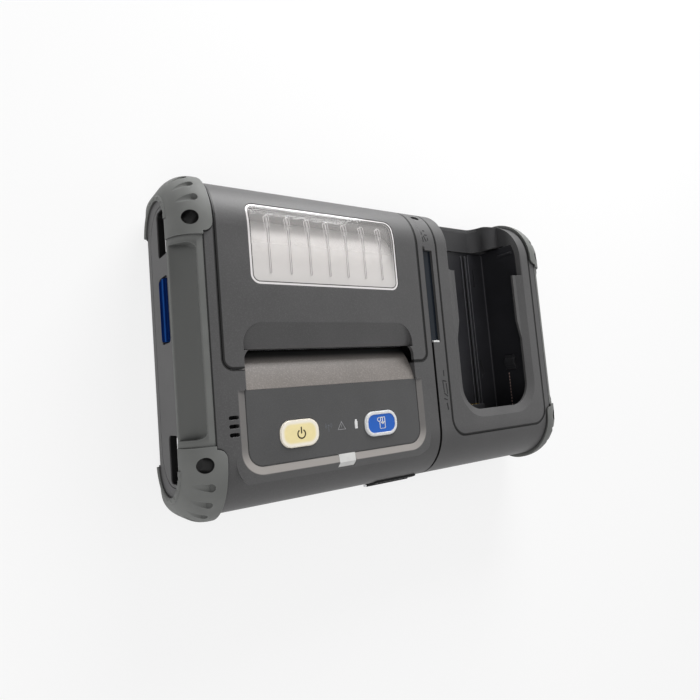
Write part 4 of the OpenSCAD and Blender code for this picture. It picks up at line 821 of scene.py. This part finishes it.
def panelSigns():
    k = panelLook
    z, w, h = layout["panelZ"] - sunk / 2, k["line"], k["high"]
    x, y = k["waves"]
    rise, long = k["mast"]
    parts = [strip("mast", x, y + rise, z, w, long, h)]
    rise, radius, wide = k["dot"]
    parts.append(arc("dot", x, y + rise, z, radius, wide, h, 0, 360))
    for radius in k["waveRadii"]:
        for begin, sweep in k["waveArcs"]:
            parts.append(arc("wave", x, y + k["waveRise"], z, radius, w, h, begin, sweep))
    fit(join("waveSign", parts), "housing", dimInk)
    x, y = k["sign"]
    triangle = start("circle", "signTriangle", vertices=3, radius=k["signRadius"] * mm, fill_type="NGON",
                     location=(x * mm, (y - k["signDrop"]) * mm, z * mm))
    settle()
    pick(triangle, "FACE", lambda c, n: True)
    bpy.ops.mesh.inset(thickness=k["signLine"] * mm)
    bpy.ops.mesh.delete(type="FACE")
    thicken(triangle, h, k["edge"])
    stroke = strip("stroke", x, y, z, w, k["signStroke"], h)
    fit(join("alertSign", [triangle, stroke]), "housing", greyInk)
    x, y = k["cell"]
    parts = []
    for part in ("cellBody", "cellCap"):
        half, low, high, corner = k[part]
        place = (x - half, y + low, x + half, y + high, corner)
        parts.append(roundedPlate(part, place, z, h, k["edge"]))
    fit(join("cellSign", parts), "housing", whiteInk)


panelSigns()
print("panel signs made")

guideLook = {"place": (20.9, -4.65, 26.7, -3.15, 0.35), "low": 58.7, "high": 60.7, "edge": 0.2}
stripLook = {                                    # marks: x, y, width, length and turn
    "high": 0.08,
    "lower": [(27.2, -26.9, 0.85, 4.4, 0), (25.9, -36.3, 0.85, 8.8, 4), (28.9, -38.0, 0.85, 8.0, 4),
              (27.5, -32.6, 0.85, 3.4, 78), (27.7, -42.4, 0.85, 4.2, 55), (27.0, -45.5, 0.85, 3.6, 70),
              (28.2, -50.6, 1.19, 5.2, 8)],
    "upper": [(20.2, 70.5, 0.95, 4.2, 0), (22.2, 71.2, 0.95, 4.8, 22), (23.9, 74.2, 2.8, 0.95, 0),
              (20.4, 75.4, 0.95, 2.6, 0), (23.3, 77.6, 1.9, 1.4, 0), (24.8, 71.0, 0.95, 2.4, 0)],
    "upperEdge": 0.03,
    "upperSunk": 0.03,
    "round": 34.0,                               # radius and axis of the rounding under the upper marks
    "roundY": 65.0,
    "roundZ": 27.0,
}


def stripDetails():
    g, k = guideLook, stripLook
    tab = roundedPlate("guideTab", g["place"], g["low"], g["high"] - g["low"], g["edge"])
    fit(tab, "housing", whiteInk)
    h = k["high"]
    z = layout["frontZ"] - sunk
    marks = [strip("mark", x, y, z, wide, long, h, turn) for x, y, wide, long, turn in k["lower"]]
    fit(join("cardSigns", marks), "housing", sunkInk)
    marks = []
    for x, y, wide, long, turn in k["upper"]:
        rise = y - k["roundY"]
        z = k["roundZ"] + math.sqrt(k["round"] ** 2 - rise ** 2) - k["upperSunk"]
        lean = -math.asin(rise / k["round"])
        marks.append(strip("mark", x, y, z, wide, long, h, turn, k["upperEdge"], lean))
    fit(join("cardArrows", marks), "housing", sunkInk)


stripDetails()
print("strip details made")

studLook = {"x": 126.95, "z": 36.6, "from": -56.0, "pitch": 2.6, "count": 11, "size": (0.3, 1.5, 0.8)}


def pocketStuds():                               # row of small contacts on the pocket's right wall
    k = studLook
    places = [k["from"] + i * k["pitch"] for i in range(k["count"])]
    studs = [strip("stud", k["x"], y, k["z"], *k["size"]) for y in places]
    fit(join("pocketContacts", studs), "housing", contactRow)


pocketStuds()
print("pocket contacts made")

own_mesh(nodes["head_springs"])

stageLook = {"floorSize": 8.0, "floorZ": -0.0004, "floorColour": (0.93, 0.93, 0.93), "shadow": 0.22,
             "worldLight": 0.3, "aim": (0, 0, 0.03)}
studio = {
    "top": {"at": (0.30, 1.05, 0.33), "size": 0.65, "power": 17.0},
    "front": {"at": (-0.72, -0.68, 1.02), "size": 1.2, "power": 6.9},
    "right": {"at": (1.0, 0.0, 0.8), "size": 0.9, "power": 1.5},
}


def whiteSeen(tree):                             # the camera, mirrors and glass see plain white
    seen, glossy, clear = (newNode(tree, "ShaderNodeLightPath", None, "Is " + ray + " Ray")
                           for ray in ("Camera", "Glossy", "Transmission"))
    return seen.atLeast(glossy).atLeast(clear)


deselectAll()
bpy.ops.mesh.primitive_plane_add(size=stageLook["floorSize"], location=(0, 0, stageLook["floorZ"]))
floor = bpy.context.object
floor.name = "floor"
floorFinish = Finish("floorWhite", 0.9)
floorFinish.set(Base_Color=stageLook["floorColour"])
tree = floorFinish.tree
glow = newNode(tree, "ShaderNodeEmission", Strength=1.0, Color=(1, 1, 1))
lit = Wire(tree, floorFinish.shader.outputs[0])
whiteShare = whiteSeen(tree) * (1.0 - stageLook["shadow"])
surface = newNode(tree, "ShaderNodeMixShader", numbered={0: whiteShare, 1: lit, 2: glow})
feed(tree, tree.nodes["Material Output"].inputs["Surface"], surface)
floor.data.materials.append(floorFinish.material)

world = bpy.data.worlds.new("studioWorld")
bpy.context.scene.world = world
world.use_nodes = True
back = world.node_tree.nodes["Background"]
back.inputs["Color"].default_value = (1, 1, 1, 1)
dim = stageLook["worldLight"]
feed(world.node_tree, back.inputs["Strength"], whiteSeen(world.node_tree) * (1.0 - dim) + dim)

for name, lamp in studio.items():
    deselectAll()
    bpy.ops.object.light_add(type="AREA", location=lamp["at"])
    light = bpy.context.object
    light.name = name + "Lamp"
    light.data.size = lamp["size"]
    light.data.energy = lamp["power"]
    aim = Vector(stageLook["aim"]) - Vector(lamp["at"])
    light.rotation_euler = aim.to_track_quat("-Z", "Y").to_euler()

cameraLook = {
    "at": (-0.25059, -0.03721, 0.34715),
    "right": (0.82285, -0.08492, 0.56188),
    "up": (0.02327, 0.99298, 0.11600),
    "back": (-0.56778, -0.08237, 0.81905),
    "lens": 28.286,
}
deselectAll()
bpy.ops.object.camera_add()
camera = bpy.context.object
camera.name = "photoCamera"
turn = Matrix((cameraLook["right"], cameraLook["up"], cameraLook["back"])).transposed().to_4x4()
camera.matrix_world = Matrix.Translation(cameraLook["at"]) @ turn
camera.data.lens = cameraLook["lens"]
camera.data.sensor_width = 36.0
camera.data.clip_start = 0.01
bpy.context.scene.camera = camera
bpy.context.scene.view_settings.view_transform = "Standard"
print("studio and camera set")
